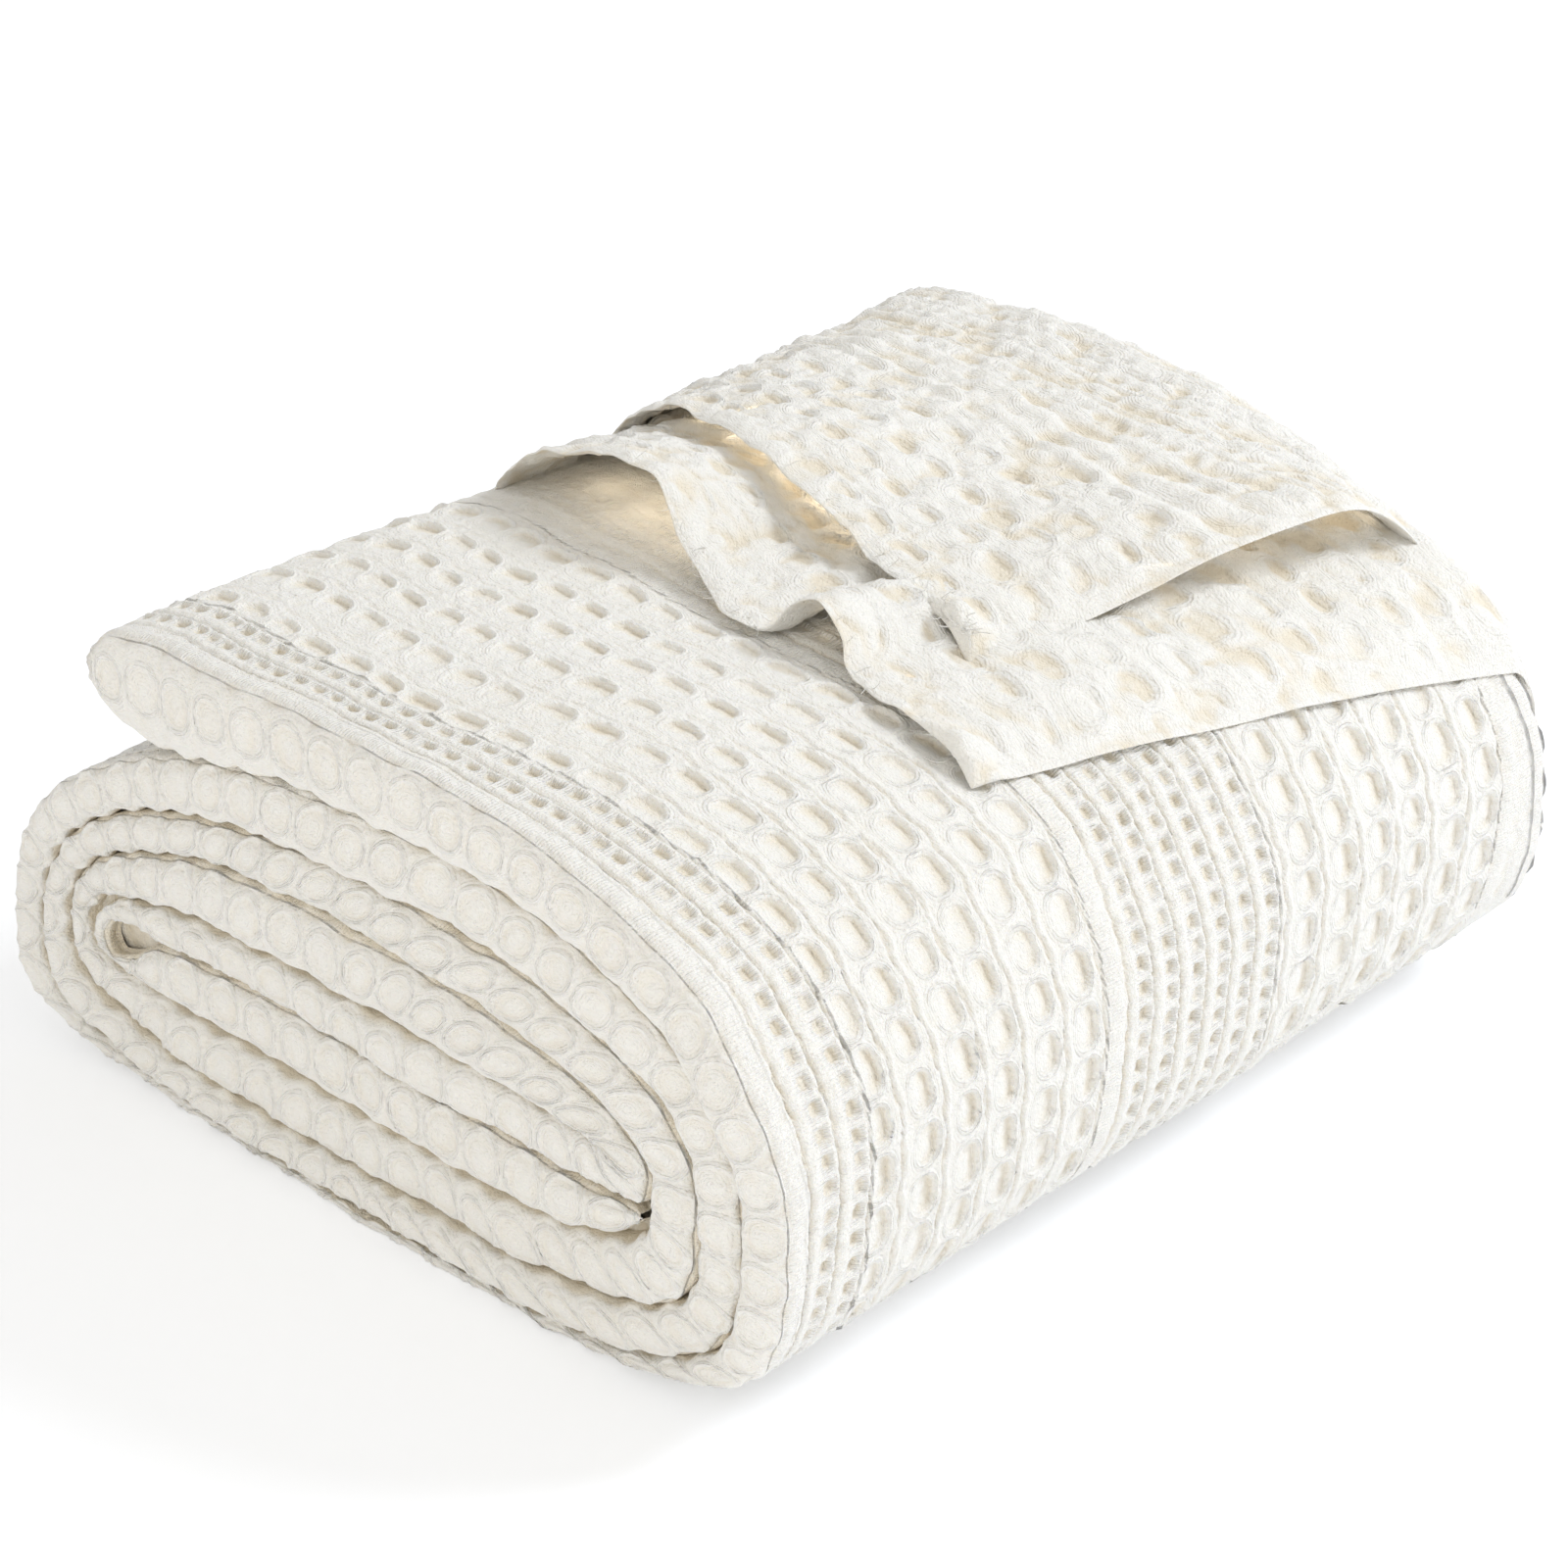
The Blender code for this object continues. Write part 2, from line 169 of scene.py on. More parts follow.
# %% [markdown]
# ## The wound strip in section
# The roll's section is a spiral of rounded quarters, each a superellipse, from the fat fold at the
# upper left inwards. PASSES says where the outer side of the strip passes each side of the
# roll, and how far its folds stand back at either end. The inner side of one turn is the outer
# side of the next, a thread's width away.

# %% Section of the strip
MM = 0.001  # a millimetre; distances are in metres
MOVED = np.array((0.0036, -0.00635, 0.0))  # from the section's own centre to the frame's
NEAR_END, FAR_END = -0.1800, 0.1868
TURN_GAP, FLAT_UNDERSIDE = 0.0008, 0.0010
PASSES = (
    # side, x, z, squareness, near, far
    ("over the top", 0.0096, 0.1720, 3.3, 0.0000, 0.0096),
    ("round the right", 0.1672, 0.0744, 2.4, 0.0008, 0.0000),
    ("underneath", 0.0240, 0.0000, 3.2, 0.0024, 0.0032),
    ("round the left", -0.1744, 0.0464, 4.2, 0.0000, 0.0024),
    ("over the top", 0.0080, 0.1460, 2.05, 0.0024, 0.0072),
    ("round the right", 0.1496, 0.0720, 2.4, 0.0024, 0.0032),
    ("underneath", 0.0200, 0.0040, 3.2, 0.0000, 0.0048),
    ("round the left", -0.1612, 0.0480, 4.0, 0.0008, 0.0032),
    ("over the top", 0.0000, 0.1216, 2.1, 0.0032, 0.0048),
    ("round the right", 0.1324, 0.0704, 2.5, 0.0016, 0.0024),
    ("underneath", 0.0080, 0.0176, 3.2, 0.0024, 0.0048),
    ("round the left", -0.1492, 0.0496, 3.4, 0.0016, 0.0040),
    ("over the top", -0.0160, 0.1024, 2.2, 0.0016, 0.0032),
    ("round the right", 0.1148, 0.0720, 2.4, 0.0016, 0.0048),
    ("underneath", 0.0080, 0.0380, 3.2, 0.0032, 0.0040),
    ("round the left", -0.1380, 0.0512, 3.4, 0.0024, 0.0032),
    ("over the top", -0.0160, 0.0788, 2.6, 0.0024, 0.0048),
)
FOLD_TIP, FOLD_END = (-0.1240, 0.1536), -0.0896  # the fat fold, and where it meets the turn below
FOLD_ROUNDNESS = 2.8
FOLD_PINCH = (0.0944, 0.0789)  # where the innermost turn narrows into the inner fold
INNER_FOLD = MM * np.array((
    # outer x, outer z, inner x, inner z
    (111.6, 65.0, 93.6, 78.5),
    (97.6, 61.0, 89.6, 78.2),
    (72.0, 60.4, 72.0, 78.2),
    (32.0, 61.0, 32.0, 78.2),
    (-16.0, 61.3, -16.0, 77.9),
    (-56.0, 61.3, -57.6, 77.3),
    (-88.0, 61.6, -92.0, 74.6),
    (-108.0, 62.8, -113.6, 70.4),
    (-123.2, 60.4, -128.8, 64.0),
    (-130.4, 52.8, -136.6, 53.6),
    (-127.2, 45.6, -133.2, 44.8),
    (-116.0, 50.0, -118.4, 42.0),
    (-100.0, 59.6, -97.6, 40.2),
    (-56.0, 60.6, -56.0, 39.0),
    (-16.0, 60.6, -16.0, 38.6),
    (32.0, 60.2, 32.0, 38.8),
    (72.0, 59.7, 72.0, 41.2),
    (96.0, 60.0, 94.4, 46.4),
    (106.0, 61.2, 106.4, 53.2),
    (109.6, 61.6, 110.6, 57.2),
    (111.8, 61.8, 112.4, 60.2),
    (112.8, 61.7, 112.9, 61.5),
))
SETTLING = (
    # y, share of the near end's height
    (-0.1800, 1.000),
    (-0.1040, 0.990),
    (-0.0240, 0.962),
    (0.0800, 0.945),
    (0.1868, 0.935),
)
STEPS, FOLD_STEPS = 160, 40  # samples in each quarter, and from row to row of the inner fold
SPACING = 0.001  # from sample to sample of the finished strip


def rounded_quarter(start, end, squareness, leaves_flat):
    angle = np.arange(1, STEPS + 1) / STEPS * math.pi / 2
    along = np.sin(angle) ** (2 / squareness)
    across = 1 - np.clip(np.cos(angle), 0, 1) ** (2 / squareness)
    x, z = (along, across) if leaves_flat else (across, along)
    return np.stack([start[0] + x * (end[0] - start[0]), start[1] + z * (end[1] - start[1])], 1)


def outer_side():
    """Outer side of the strip from the top inwards, and how far its folds stand back."""
    points, recesses = [np.array([PASSES[0][1:3]])], [np.array([PASSES[0][4:6]])]
    for before, after in zip(PASSES, PASSES[1:]):
        leaves_flat = before[0] in ("over the top", "underneath")
        points.append(rounded_quarter(points[-1][-1], after[1:3], after[3], leaves_flat))
        share = ease(0, STEPS, np.arange(1, STEPS + 1))[:, None]
        recesses.append(blend(np.array(before[4:6]), np.array(after[4:6]), share))
    points, recesses = np.concatenate(points), np.concatenate(recesses)
    points[: 3 * STEPS, 1] = np.maximum(points[: 3 * STEPS, 1], FLAT_UNDERSIDE)
    return points, recesses


def fat_fold(points):
    """Upper and under side of the fat fold, from its tip to the top of the roll."""
    angle = np.arange(0, STEPS + 1) / (STEPS + 1) * math.pi / 2
    power = 2 / PASSES[0][3]
    x = FOLD_TIP[0] + (1 - np.cos(angle) ** power) * (points[0, 0] - FOLD_TIP[0])
    z = FOLD_TIP[1] + np.sin(angle) ** power * (points[0, 1] - FOLD_TIP[1])
    turn_below = points[3 * STEPS : 5 * STEPS]
    below = np.interp(np.maximum(x, FOLD_END), turn_below[:, 0], turn_below[:, 1]) + TURN_GAP
    reach = np.clip((FOLD_END - x) / (FOLD_END - FOLD_TIP[0]), 0, 1)
    rounded = (1 - reach**FOLD_ROUNDNESS) ** (1 / FOLD_ROUNDNESS)
    rounded = FOLD_TIP[1] - (FOLD_TIP[1] - below) * rounded
    return np.stack([x, z], 1), np.stack([x, np.where(x < FOLD_END, rounded, below)], 1)


def spiral():
    """Outer side, inner side and recesses all along the strip, evenly sampled."""
    points, recesses = outer_side()
    fold_outer, fold_inner = fat_fold(points)
    turn = 4 * STEPS
    last = len(points) - turn
    outer, inner = points[:last], points[turn:]
    inner = inner + unit(outer - inner) * TURN_GAP
    share = np.sin(np.arange(1, STEPS + 1) / STEPS * math.pi / 2)[:, None]
    pinch = blend(inner[-1], np.array(FOLD_PINCH), share)
    numbered = [(k, *row) for k, row in enumerate(INNER_FOLD)]
    k = np.linspace(0, len(INNER_FOLD) - 1, FOLD_STEPS * (len(INNER_FOLD) - 1))
    tail = np.stack([between(numbered, column, k) for column in range(1, 5)], 1)
    outer = np.concatenate([fold_outer, outer, points[last : last + STEPS], tail[:, :2]])
    inner = np.concatenate([fold_inner, inner, pinch, tail[:, 2:]])
    at_fold, at_end = recesses[:1].repeat(STEPS + 1, 0), recesses[last : last + 1].repeat(len(k), 0)
    stands = np.concatenate([at_fold, recesses[: last + STEPS], at_end])
    rows = np.concatenate([outer, inner, stands], 1)
    length = distance_along(rows[:, :2])
    even = np.arange(0, length[-1], SPACING)
    rows = np.stack([np.interp(even, length, column) for column in rows.T], 1)
    return even, rows


def softened(rows, reach):
    """The same rows with every kink eased over about reach samples."""
    weight = np.exp(-0.5 * (np.arange(-3 * reach, 3 * reach + 1) / reach) ** 2)
    weight /= weight.sum()
    padded = np.concatenate([rows[:1].repeat(3 * reach, 0), rows, rows[-1:].repeat(3 * reach, 0)])
    return np.stack([np.convolve(column, weight, "valid") for column in padded.T], 1)


ALONG, SPIRAL = spiral()
SPIRAL = softened(SPIRAL, 3)
print("strip winds", round(ALONG[-1], 3), "m")

# %% [markdown]
# ## The strip's skin
# A point of the strip's skin has two distances: `s` along the winding, and `w` across the cloth
# from the middle of the near fold. Near either end the skin turns round a soft lip. A little
# unevenness in the lips keeps the folds from looking turned on a lathe.

# %% The skin's base surface
LIP_DEPTH, LIP_ARC, LIP_SQUARENESS = 0.0085, 0.0165, 3.2
LIP_STANDS_BACK = 0.0012  # leaves room for the relief in front of the lips


def sunk(x, y, z):
    """Points of the section at y, where the roll has sunk a little."""
    return np.stack([x, y, (z - FLAT_UNDERSIDE) * between(SETTLING, 1, y)], -1)


def strip_at(s):
    """Outer x and z and inner x and z of the strip, at s."""
    return [np.interp(s, ALONG, SPIRAL[:, k]) for k in range(4)]


def thickness(s):
    outer_x, outer_z, inner_x, inner_z = strip_at(s)
    return np.hypot(outer_x - inner_x, outer_z - inner_z)


def across_cloth(s, far):
    """Where the lip's front stands and the lip's depth, at s."""
    depth = np.minimum(LIP_DEPTH, 0.6 * thickness(s))
    recess = np.interp(s, ALONG, SPIRAL[:, 5 if far else 4])
    wavy = uneven(s, 0 * s, (0.0013, 0.034, 11 + far), (0.0008, 0.013, 13 + far))
    return recess + LIP_STANDS_BACK + wavy, depth


def width_of_cloth(s):
    """Distance w from the middle of the near fold to the middle of the far one."""
    (near, near_depth), (far, far_depth) = across_cloth(s, 0), across_cloth(s, 1)
    return FAR_END - far - NEAR_END - near - near_depth - far_depth + 2 * LIP_ARC


def lip_skin(s, w, far):
    """Base surface round one end. w is measured from that end's own fold."""
    outer_x, outer_z, inner_x, inner_z = strip_at(s)
    recess, depth = across_cloth(s, far)
    angle = math.pi / 2 * np.clip(w / LIP_ARC, -1, 1)
    share = np.sign(angle) * np.abs(np.sin(angle)) ** (2 / LIP_SQUARENESS)
    back = depth * (1 - np.abs(np.cos(angle)) ** (2 / LIP_SQUARENESS))
    back = back + np.maximum(np.abs(w) - LIP_ARC, 0)
    x = (outer_x + inner_x) / 2 + share * (outer_x - inner_x) / 2
    z = (outer_z + inner_z) / 2 + share * (outer_z - inner_z) / 2
    return sunk(x, FAR_END - recess - back if far else NEAR_END + recess + back, z)


def near_skin(s, w):
    return lip_skin(s, w, 0)


def far_skin(s, w):
    return lip_skin(s, w, 1)


print("cloth across the roll", round(float(width_of_cloth(np.array([0.3]))[0]), 4), "m")

# %% [markdown]
# ## The weave's relief
# In a honeycomb weave the cords part round each cell and come together between cells. So each
# coarse row has shallow round cells, deepest at the far side, where a thin shadow lies. Between
# two rows runs a faint wavy crease. The fine rows are a soft band, a ladder of small pits and a
# rope with a sharp crease behind it. The rows wander over the roll as the cloth was pulled.
# Heights are in millimetres. `u` counts the cells of a row, and `v` runs over the row's width
# from -0.5 to 0.5. `taut` says how hard the cloth is pulled, and `fray` roughens the edges.

# %% Rows of the weave
CELL, FINE_CELL, LIP_CELL = 0.0168, 0.0083, 0.0172  # from cell to cell along a row
ROW_WIDTH, CLOTH_WIDTH = 0.0184, 0.376  # of a coarse row, and of the cloth from fold to fold
HALF_WIDE, HALF_TALL, TO_EDGE = 6.3, 4.8, 5.6  # a coarse cell in millimetres, and their middle
LIP_RADIUS = 0.0066  # of a lip's round cells
ROWS = (
    # kind, first w, rows, width of one row, seen from w, to w, first cell's shift, shift per row
    ("rib", 0.0118, 1, 0.0082, 0.0118, 0.0200, 0.00, 0.00),
    ("fine", 0.0225, 2, 0.0122, 0.0200, 0.0480, 0.30, 0.37),
    ("coarse", 0.0413, 6, ROW_WIDTH, 0.0480, 0.1530, -0.50, 0.15),
    ("rib", 0.1530, 1, 0.0090, 0.1530, 0.1610, 0.00, 0.00),
    ("fine", 0.1625, 6, 0.0119, 0.1600, 0.2342, 0.10, 0.29),
    ("coarse", 0.2370, 6, ROW_WIDTH, 0.2342, 0.3474, 0.37, 0.07),
    ("rib", 0.3474, 2, 0.0090, 0.3474, 0.3654, 0.00, 0.00),
)
WANDER_AT = (0.012, 0.022, 0.046, 0.065, 0.110, 0.150, 0.230, 0.340, 0.372)
WANDER = (
    # s, how many millimetres nearer than straight the rows lie at each w above
    (0.000, 0, 3.5, 6.0, 1.5, 0.0, 0.0, 0.0, 0.0, 0),
    (0.050, 0, 4.0, 7.5, 2.0, -0.5, -1.0, -1.0, -1.0, 0),
    (0.080, 0, 5.0, 10.0, 5.5, 5.0, 5.2, 5.2, 5.0, 0),
    (0.110, 0, 5.0, 12.0, 8.5, 7.0, 7.0, 7.0, 6.0, 0),
    (0.150, 0, 5.0, 10.0, 8.0, 7.2, 10.0, 10.0, 8.0, 0),
    (0.180, 0, 4.5, 7.4, 4.2, 7.0, 10.0, 8.0, 6.0, 0),
    (0.210, 0, 3.5, 5.4, 3.2, 3.5, 5.5, 4.0, 3.0, 0),
    (0.240, 0, 2.0, 2.9, 1.1, 0.4, -1.5, 0.0, 0.0, 0),
    (0.265, 0, 0.5, 1.2, 1.0, 0.2, -1.8, 0.0, 0.0, 0),
    (0.300, 0, 0.5, -1.0, 0.0, 1.0, 0.5, 1.0, 1.0, 0),
    (0.340, 0, 2.0, 1.9, 2.0, 4.7, 5.5, 4.0, 4.0, 0),
    (0.370, 0, 4.0, 4.0, 3.3, 6.0, 8.0, 5.0, 6.5, 0),
    (0.400, 0, 5.0, 6.0, 6.0, 8.0, 9.0, 8.0, 9.0, 0),
)
WANDER_S = np.arange(0, WANDER[-1][0] + SPACING, SPACING)
WANDERED = [MM * between(WANDER, 1 + k, WANDER_S) for k in range(len(WANDER_AT))]


def wander(s, w):
    return smooth_through(WANDER_AT, [np.interp(s, WANDER_S, column) for column in WANDERED], w)


def crease_at(v, line, width):
    """A mark along a line in the row, and along the same line of the row before."""
    return bump(v - line, width) + bump(v + 1 - line, width)


def coarse_cell(u, v, row, fray):
    """Cell number, millimetres from its middle, and how far out that is: 1 on the cell's edge."""
    cell = np.floor(u + 0.5)
    own = 1 + 0.10 * scatter(cell, row, 1)
    x = (u - cell - 0.03 * scatter(cell, row, 2)) * CELL / MM
    y = (v - 0.045 - 0.035 * scatter(cell, row, 10)) * ROW_WIDTH / MM
    return cell, x, y, oval(x / (HALF_WIDE * own), y / (HALF_TALL * own), 2.5) + 0.05 * fray


def coarse_relief(u, v, row, taut, fray):
    cell, x, y, r = coarse_cell(u, v, row, fray)
    lean = np.clip(y / HALF_TALL, -1.2, 1.2)
    dish = ease(-1.05, 0.95, lean) * (1 - 0.40 * np.clip(np.abs(x) / HALF_WIDE, 0, 1) ** 2)
    sink = (1.60 + 0.50 * scatter(cell, row, 3)) * dish * (1 - ease(0.88, 1.07, r))
    rim = (0.40 + 0.24 * lean) * bump(r - 1.16, 0.10)
    knot = bump(0.5 - MM * np.abs(x) / CELL, 0.10) * bump(v - 0.04, 0.25)
    line = 0.50 + 0.035 * np.cos(2 * math.pi * u + 3 * scatter(0 * row, row, 5)) + 0.02 * fray
    cords = bump(v - line + 0.085, 0.045) + bump(v + 1 - line - 0.085, 0.045)
    height = rim + (0.30 + 0.16 * taut) * knot + taut * 0.42 * cords - sink
    return height - taut * 0.75 * crease_at(v, line, 0.032)


def fine_pit(u, v, row):
    """Pit number, cells from its middle, and how far out that is: 1 on the pit's edge."""
    cell = np.floor(u + 0.5)
    du = u - cell - 0.05 * scatter(cell, row, 16)
    half = 0.185 + 0.03 * scatter(cell, row, 18)
    return cell, du, oval(du / 0.32, (v - 0.11) / half, 3)


def fine_relief(u, v, row, taut, fray):
    cell, du, r = fine_pit(u, v, row)
    line = 0.5 + 0.045 * (np.abs(np.cos(math.pi * du)) - 0.6) + 0.030 * fray
    shade_share = (0.45 + 0.60 * taut) * (1 + 0.33 * scatter(np.floor(u / 2), row, 17))
    crease = shade_share * crease_at(v, line, 0.055)
    pit = (1.45 + 0.50 * scatter(cell, row, 6)) * (1 - ease(0.62, 1.10, r + 0.10 * fray))
    pit = pit * (0.65 + 0.45 * ease(-0.08, 0.26, v))
    rope = 0.42 * bump(v - 0.37, 0.075) * (1 + 0.45 * np.cos(2 * math.pi * (2 * u + 1.4 * v)))
    puff = 0.40 * bump(v + 0.27, 0.12) * (1 + 0.3 * np.cos(2 * math.pi * u))
    return rope + puff - crease - pit


def lip_cell(s, w, edge):
    """Cell number, cells from its middle, and how far out that is: 1 on the cell's edge."""
    half = 0.5 * thickness(s)
    turned = np.sin(math.pi / 2 * np.clip(w / LIP_ARC, -1, 1))
    across = np.sign(w) * np.abs(turned) ** (2 / LIP_SQUARENESS) * half
    across = across + np.sign(w) * np.maximum(np.abs(w) - LIP_ARC, 0)
    u = (s + 0.0018 * ripples(s, w * 0, 0.05, 21 + edge)) / LIP_CELL
    cell = np.floor(u + 0.5)
    own = 1 + 0.08 * scatter(cell, 40 + edge, 7)
    tall = np.clip(0.78 * half, 0.0045, 0.0072)
    dv = across - 0.12 * half - 0.0010 * scatter(cell, 40 + edge, 8)
    r = oval((u - cell) * LIP_CELL / (LIP_RADIUS * own), dv / (tall * own), 2.2)
    return cell, u - cell, r


def lip_relief(s, w, edge):
    """One row of round cells over the folded edge."""
    cell, du, r = lip_cell(s, w, edge)
    r = r + 0.03 * ripples(s, w, 0.0016, 62)
    sink = (0.60 + 0.25 * scatter(cell, 40 + edge, 9)) * (1 - ease(0.86, 1.02, r))
    dome = 0.16 * np.clip(1 - r * r, 0, 1)
    rim = 0.40 * bump(r - 1.12, 0.075)
    outside = ease(0.0075, 0.0125, np.abs(w))
    scallop = 0.65 * outside * np.cos(2 * math.pi * du) * (1 - ease(0.014, 0.020, np.abs(w)))
    dent = 0.24 * bump(np.abs(du) - 0.5, 0.10) * (1 - outside)
    return dome - sink + rim + scallop - dent


def places(s, w, far):
    """Each field of the weave at s and w: kind, its share here, u, v and the row's number."""
    lie = w if far else w + wander(s, w)
    calm = ease(0.012, 0.050, w) * (1 if far else ease(0.012, 0.045, CLOTH_WIDTH - w))
    lie = lie + calm * uneven(s, w, (0.0009, 0.060, 31), (0.0005, 0.022, 32))
    along = s + uneven(s, w, (0.0018, 0.070, 33), (0.0008, 0.020, 34))
    for kind, first, count, width, seen_from, seen_to, shift, per_row in ROWS[: 1 if far else None]:
        place = (lie - first) / width
        row = np.clip(np.floor(place), 0, count - 1)
        inside = ease(-0.0006, 0.0006, lie - seen_from) * ease(-0.0006, 0.0006, seen_to - lie)
        u = along / (CELL if kind == "coarse" else FINE_CELL) + shift + per_row * row
        yield kind, inside, u, place - row - 0.5, row + 100 * first


def on_lip(w):
    return 1 - ease(0.0112, 0.0132, w)


def tautness(s):
    return 0.30 + 0.70 * ease(0.17, 0.25, s)


def woven_from(s, w, far):
    """The weave's height at s and at w from one end's fold."""
    height = lip_relief(s, w, far) * on_lip(w)
    fray, taut = ripples(s, w, 0.0016, 61), tautness(s)
    for kind, inside, u, v, row in places(s, w, far):
        if kind == "coarse":
            height = height + inside * coarse_relief(u, v, row, taut, fray)
        elif kind == "fine":
            height = height + inside * fine_relief(u, v, row, taut, fray)
        else:
            puff = 0.45 * np.cos(math.pi * np.clip(v, -0.5, 0.5)) ** 1.5
            height = height + inside * (puff + 0.30 * ripples(s, w, 0.005, 36))
    return height


def relief(s, w):
    """The whole weave's height at s and w on the skin."""
    from_far = width_of_cloth(s) - w
    share = ease(0.0200, 0.0300, from_far)
    height = blend(woven_from(s, from_far, 1), woven_from(s, w, 0), share)
    smooth = ease(0.149, 0.162, w) * (1 - ease(0.15, 0.19, s))  # no cells under the arch
    rough = uneven(s, w, (0.24, 0.0045, 37), (0.16, 0.0022, 38), (0.8, 0.045, 39))
    return height * (1 - 0.85 * smooth) + rough


def relief_from_far(s, w):
    return relief(s, width_of_cloth(s) - w)


def threads(s, w, far=0):
    """Millimetres across the loose threads at s and w, and how much those threads show."""
    ring = lip_cell(s, w, far)[2]
    across, shown = LIP_RADIUS / MM * ring, on_lip(w) * (0.65 * bump(ring - 1.12, 0.16) + 0.25)
    for kind, inside, u, v, row in places(s, w, far):
        if kind == "coarse":
            _, x, _, r = coarse_cell(u, v, row, 0)
            aside = tautness(s) * (0.30 + 0.70 * ease(1.5, 4.5, np.abs(x)))
            mine, much = TO_EDGE * r, 0.15 + 0.85 * aside * bump(r - 1.15, 0.22)
        elif kind == "fine":
            mine = FINE_CELL / MM * u
            much = 0.25 + 0.75 * bump(fine_pit(u, v, row)[2] - 1.1, 0.35)
        else:
            mine, much = s / MM, 0.45 + 0 * s
        across = np.where(inside > 0.5, mine, across)
        shown = np.where(inside > 0.5, much * np.abs(2 * inside - 1), shown)
    return across, shown


print("rows of the weave", sum(row[2] for row in ROWS))

# %% [markdown]
# ## From function to mesh
# The mesh follows the function on a grid. Its normals come from the function too, not from the
# faces, so the relief shades crisply and neighbouring pieces share one normal where they meet.
# The two distances are kept as a UV map, in metres, for the thread texture. Three attributes go
# with them: how much painted shade a place gets, which is more the deeper it lies, how far across
# the loose threads it lies, and how much of those threads shows there.

# %% Mesh of a skin
SKIN_STEP, RELIEF_STEP = 0.0010, 0.0004  # over which the skin's and the relief's slopes are taken


def slopes(function, s, w, step):
    along = function(s + step, w) - function(s - step, w)
    return along, function(s, w + step) - function(s, w - step)


def raised(skin, relief_of, s, w, side=1):
    """Points, normals and heights of a skin raised by its relief. side -1 turns it over."""
    ds, dw = slopes(skin, s, w, SKIN_STEP)
    out = unit(side * np.cross(ds, dw))
    height = relief_of(s, w)
    rise_s, rise_w = slopes(relief_of, s, w, RELIEF_STEP)
    ds = ds * (RELIEF_STEP / SKIN_STEP) + MM * out * rise_s[..., None]
    dw = dw * (RELIEF_STEP / SKIN_STEP) + MM * out * rise_w[..., None]
    points = skin(s, w) + MM * out * height[..., None]
    return points, unit(side * np.cross(ds, dw)), height


def smeared(values, reach):
    """A grid of values averaged over reach samples each way."""
    for axis in (0, 1):
        pad = [(reach + 1, reach) if other == axis else (0, 0) for other in (0, 1)]
        total = np.cumsum(np.pad(values, pad, mode="edge"), axis=axis)
        high = np.take(total, range(2 * reach + 1, total.shape[axis]), axis)
        low = np.take(total, range(total.shape[axis] - 2 * reach - 1), axis)
        values = (high - low) / (2 * reach + 1)
    return values


ABOVE_FLOOR = 0.0002
SHADE_REACH, SHADE_DEPTH = 0.004, 1.6  # painted shade is full where a place lies this far below its mean over this reach, metres and millimetres


def grid_object(name, points, normals, s, w, height, flip=False, loose=None, crevice_shade=0):
    """One smooth mesh from a grid of points, with its distances as a UV map."""
    rows, columns = points.shape[:2]
    points = points + MOVED
    points[..., 2] = np.maximum(points[..., 2], ABOVE_FLOOR)
    index = np.arange(rows * columns).reshape(rows, columns)
    corners = (index[:-1, :-1], index[:-1, 1:], index[1:, 1:], index[1:, :-1])
    faces = np.stack([c.ravel() for c in (corners[::-1] if flip else corners)], 1)
    mesh = bpy.data.meshes.new(name)
    mesh.vertices.add(rows * columns)
    mesh.vertices.foreach_set("co", points.reshape(-1).astype(np.float32))
    mesh.loops.add(faces.size)
    mesh.loops.foreach_set("vertex_index", faces.reshape(-1).astype(np.int32))
    mesh.polygons.add(len(faces))
    mesh.polygons.foreach_set("loop_start", np.arange(0, faces.size, 4, dtype=np.int32))
    mesh.update(calc_edges=True)
    mesh.shade_smooth()
    uv = mesh.uv_layers.new(name="weave")
    both = np.stack([s.ravel(), w.ravel()], 1)[faces.ravel()]
    uv.data.foreach_set("uv", both.reshape(-1).astype(np.float32))
    reach = max(2, round(SHADE_REACH / abs(s[0, 1] - s[0, 0])))
    # painted shade: the deeper a place lies below its neighbours, the more warm shade its colour
    # gets, plus any painted crevice shade given
    painted_shade = np.clip((smeared(height, reach) - height) / SHADE_DEPTH + crevice_shade, -1, 1)
    across, shown = threads(s, w) if loose is None else loose
    for label, values in (("painted_shade", painted_shade), ("across", across), ("shown", shown)):
        mesh.attributes.new(label, "FLOAT", "POINT").data.foreach_set("value", values.ravel())
    if normals is not None:
        mesh.normals_split_custom_set_from_vertices(normals.reshape(-1, 3).tolist())
    print(name, 2 * len(faces), "triangles")
    return in_scene(name, mesh)


# %% [markdown]
# ## The outside of the roll
# The top and the right side show most, so they get the finest grid. The underside and the left
# are coarser, and where the roll stands its cloth is pressed flat on the floor.

# %% Wraps
JOIN, FAR_JOIN = LIP_ARC + 0.0030, 0.3546  # where wraps and lips meet, the far one about so
OVERLAP = 0.0006  # by which pieces lie under their neighbours
COVERED = 0.188  # past this w the loose layers hide the top
WRAPS = (
    # name, from s, to s, from w, to w (None: as far as the far lip), grid step
    ("wrap_top", 0.0000, 0.250, JOIN, COVERED, 0.00072),
    ("wrap_top_covered", 0.0000, 0.250, COVERED - OVERLAP, None, 0.0025),
    ("wrap_side", 0.2496, 0.400, JOIN, None, 0.00074),
    ("wrap_under", 0.3995, 1.020, JOIN, None, 0.0032),
)


def steps_between(first, last, step):
    return np.linspace(first, last, round((last - first) / step) + 1)


pieces = {}
for name, first, last, from_w, to_w, step in WRAPS:
    count = len(steps_between(from_w, to_w or FAR_JOIN, step))
    s, share = np.meshgrid(steps_between(first, last, step), np.linspace(0, 1, count))
    w = from_w + share * ((to_w or width_of_cloth(s) - JOIN) - from_w)
    points, normals, height = raised(near_skin, relief, s, w)
    pieces[name] = grid_object(name, points, normals, s, w, height)

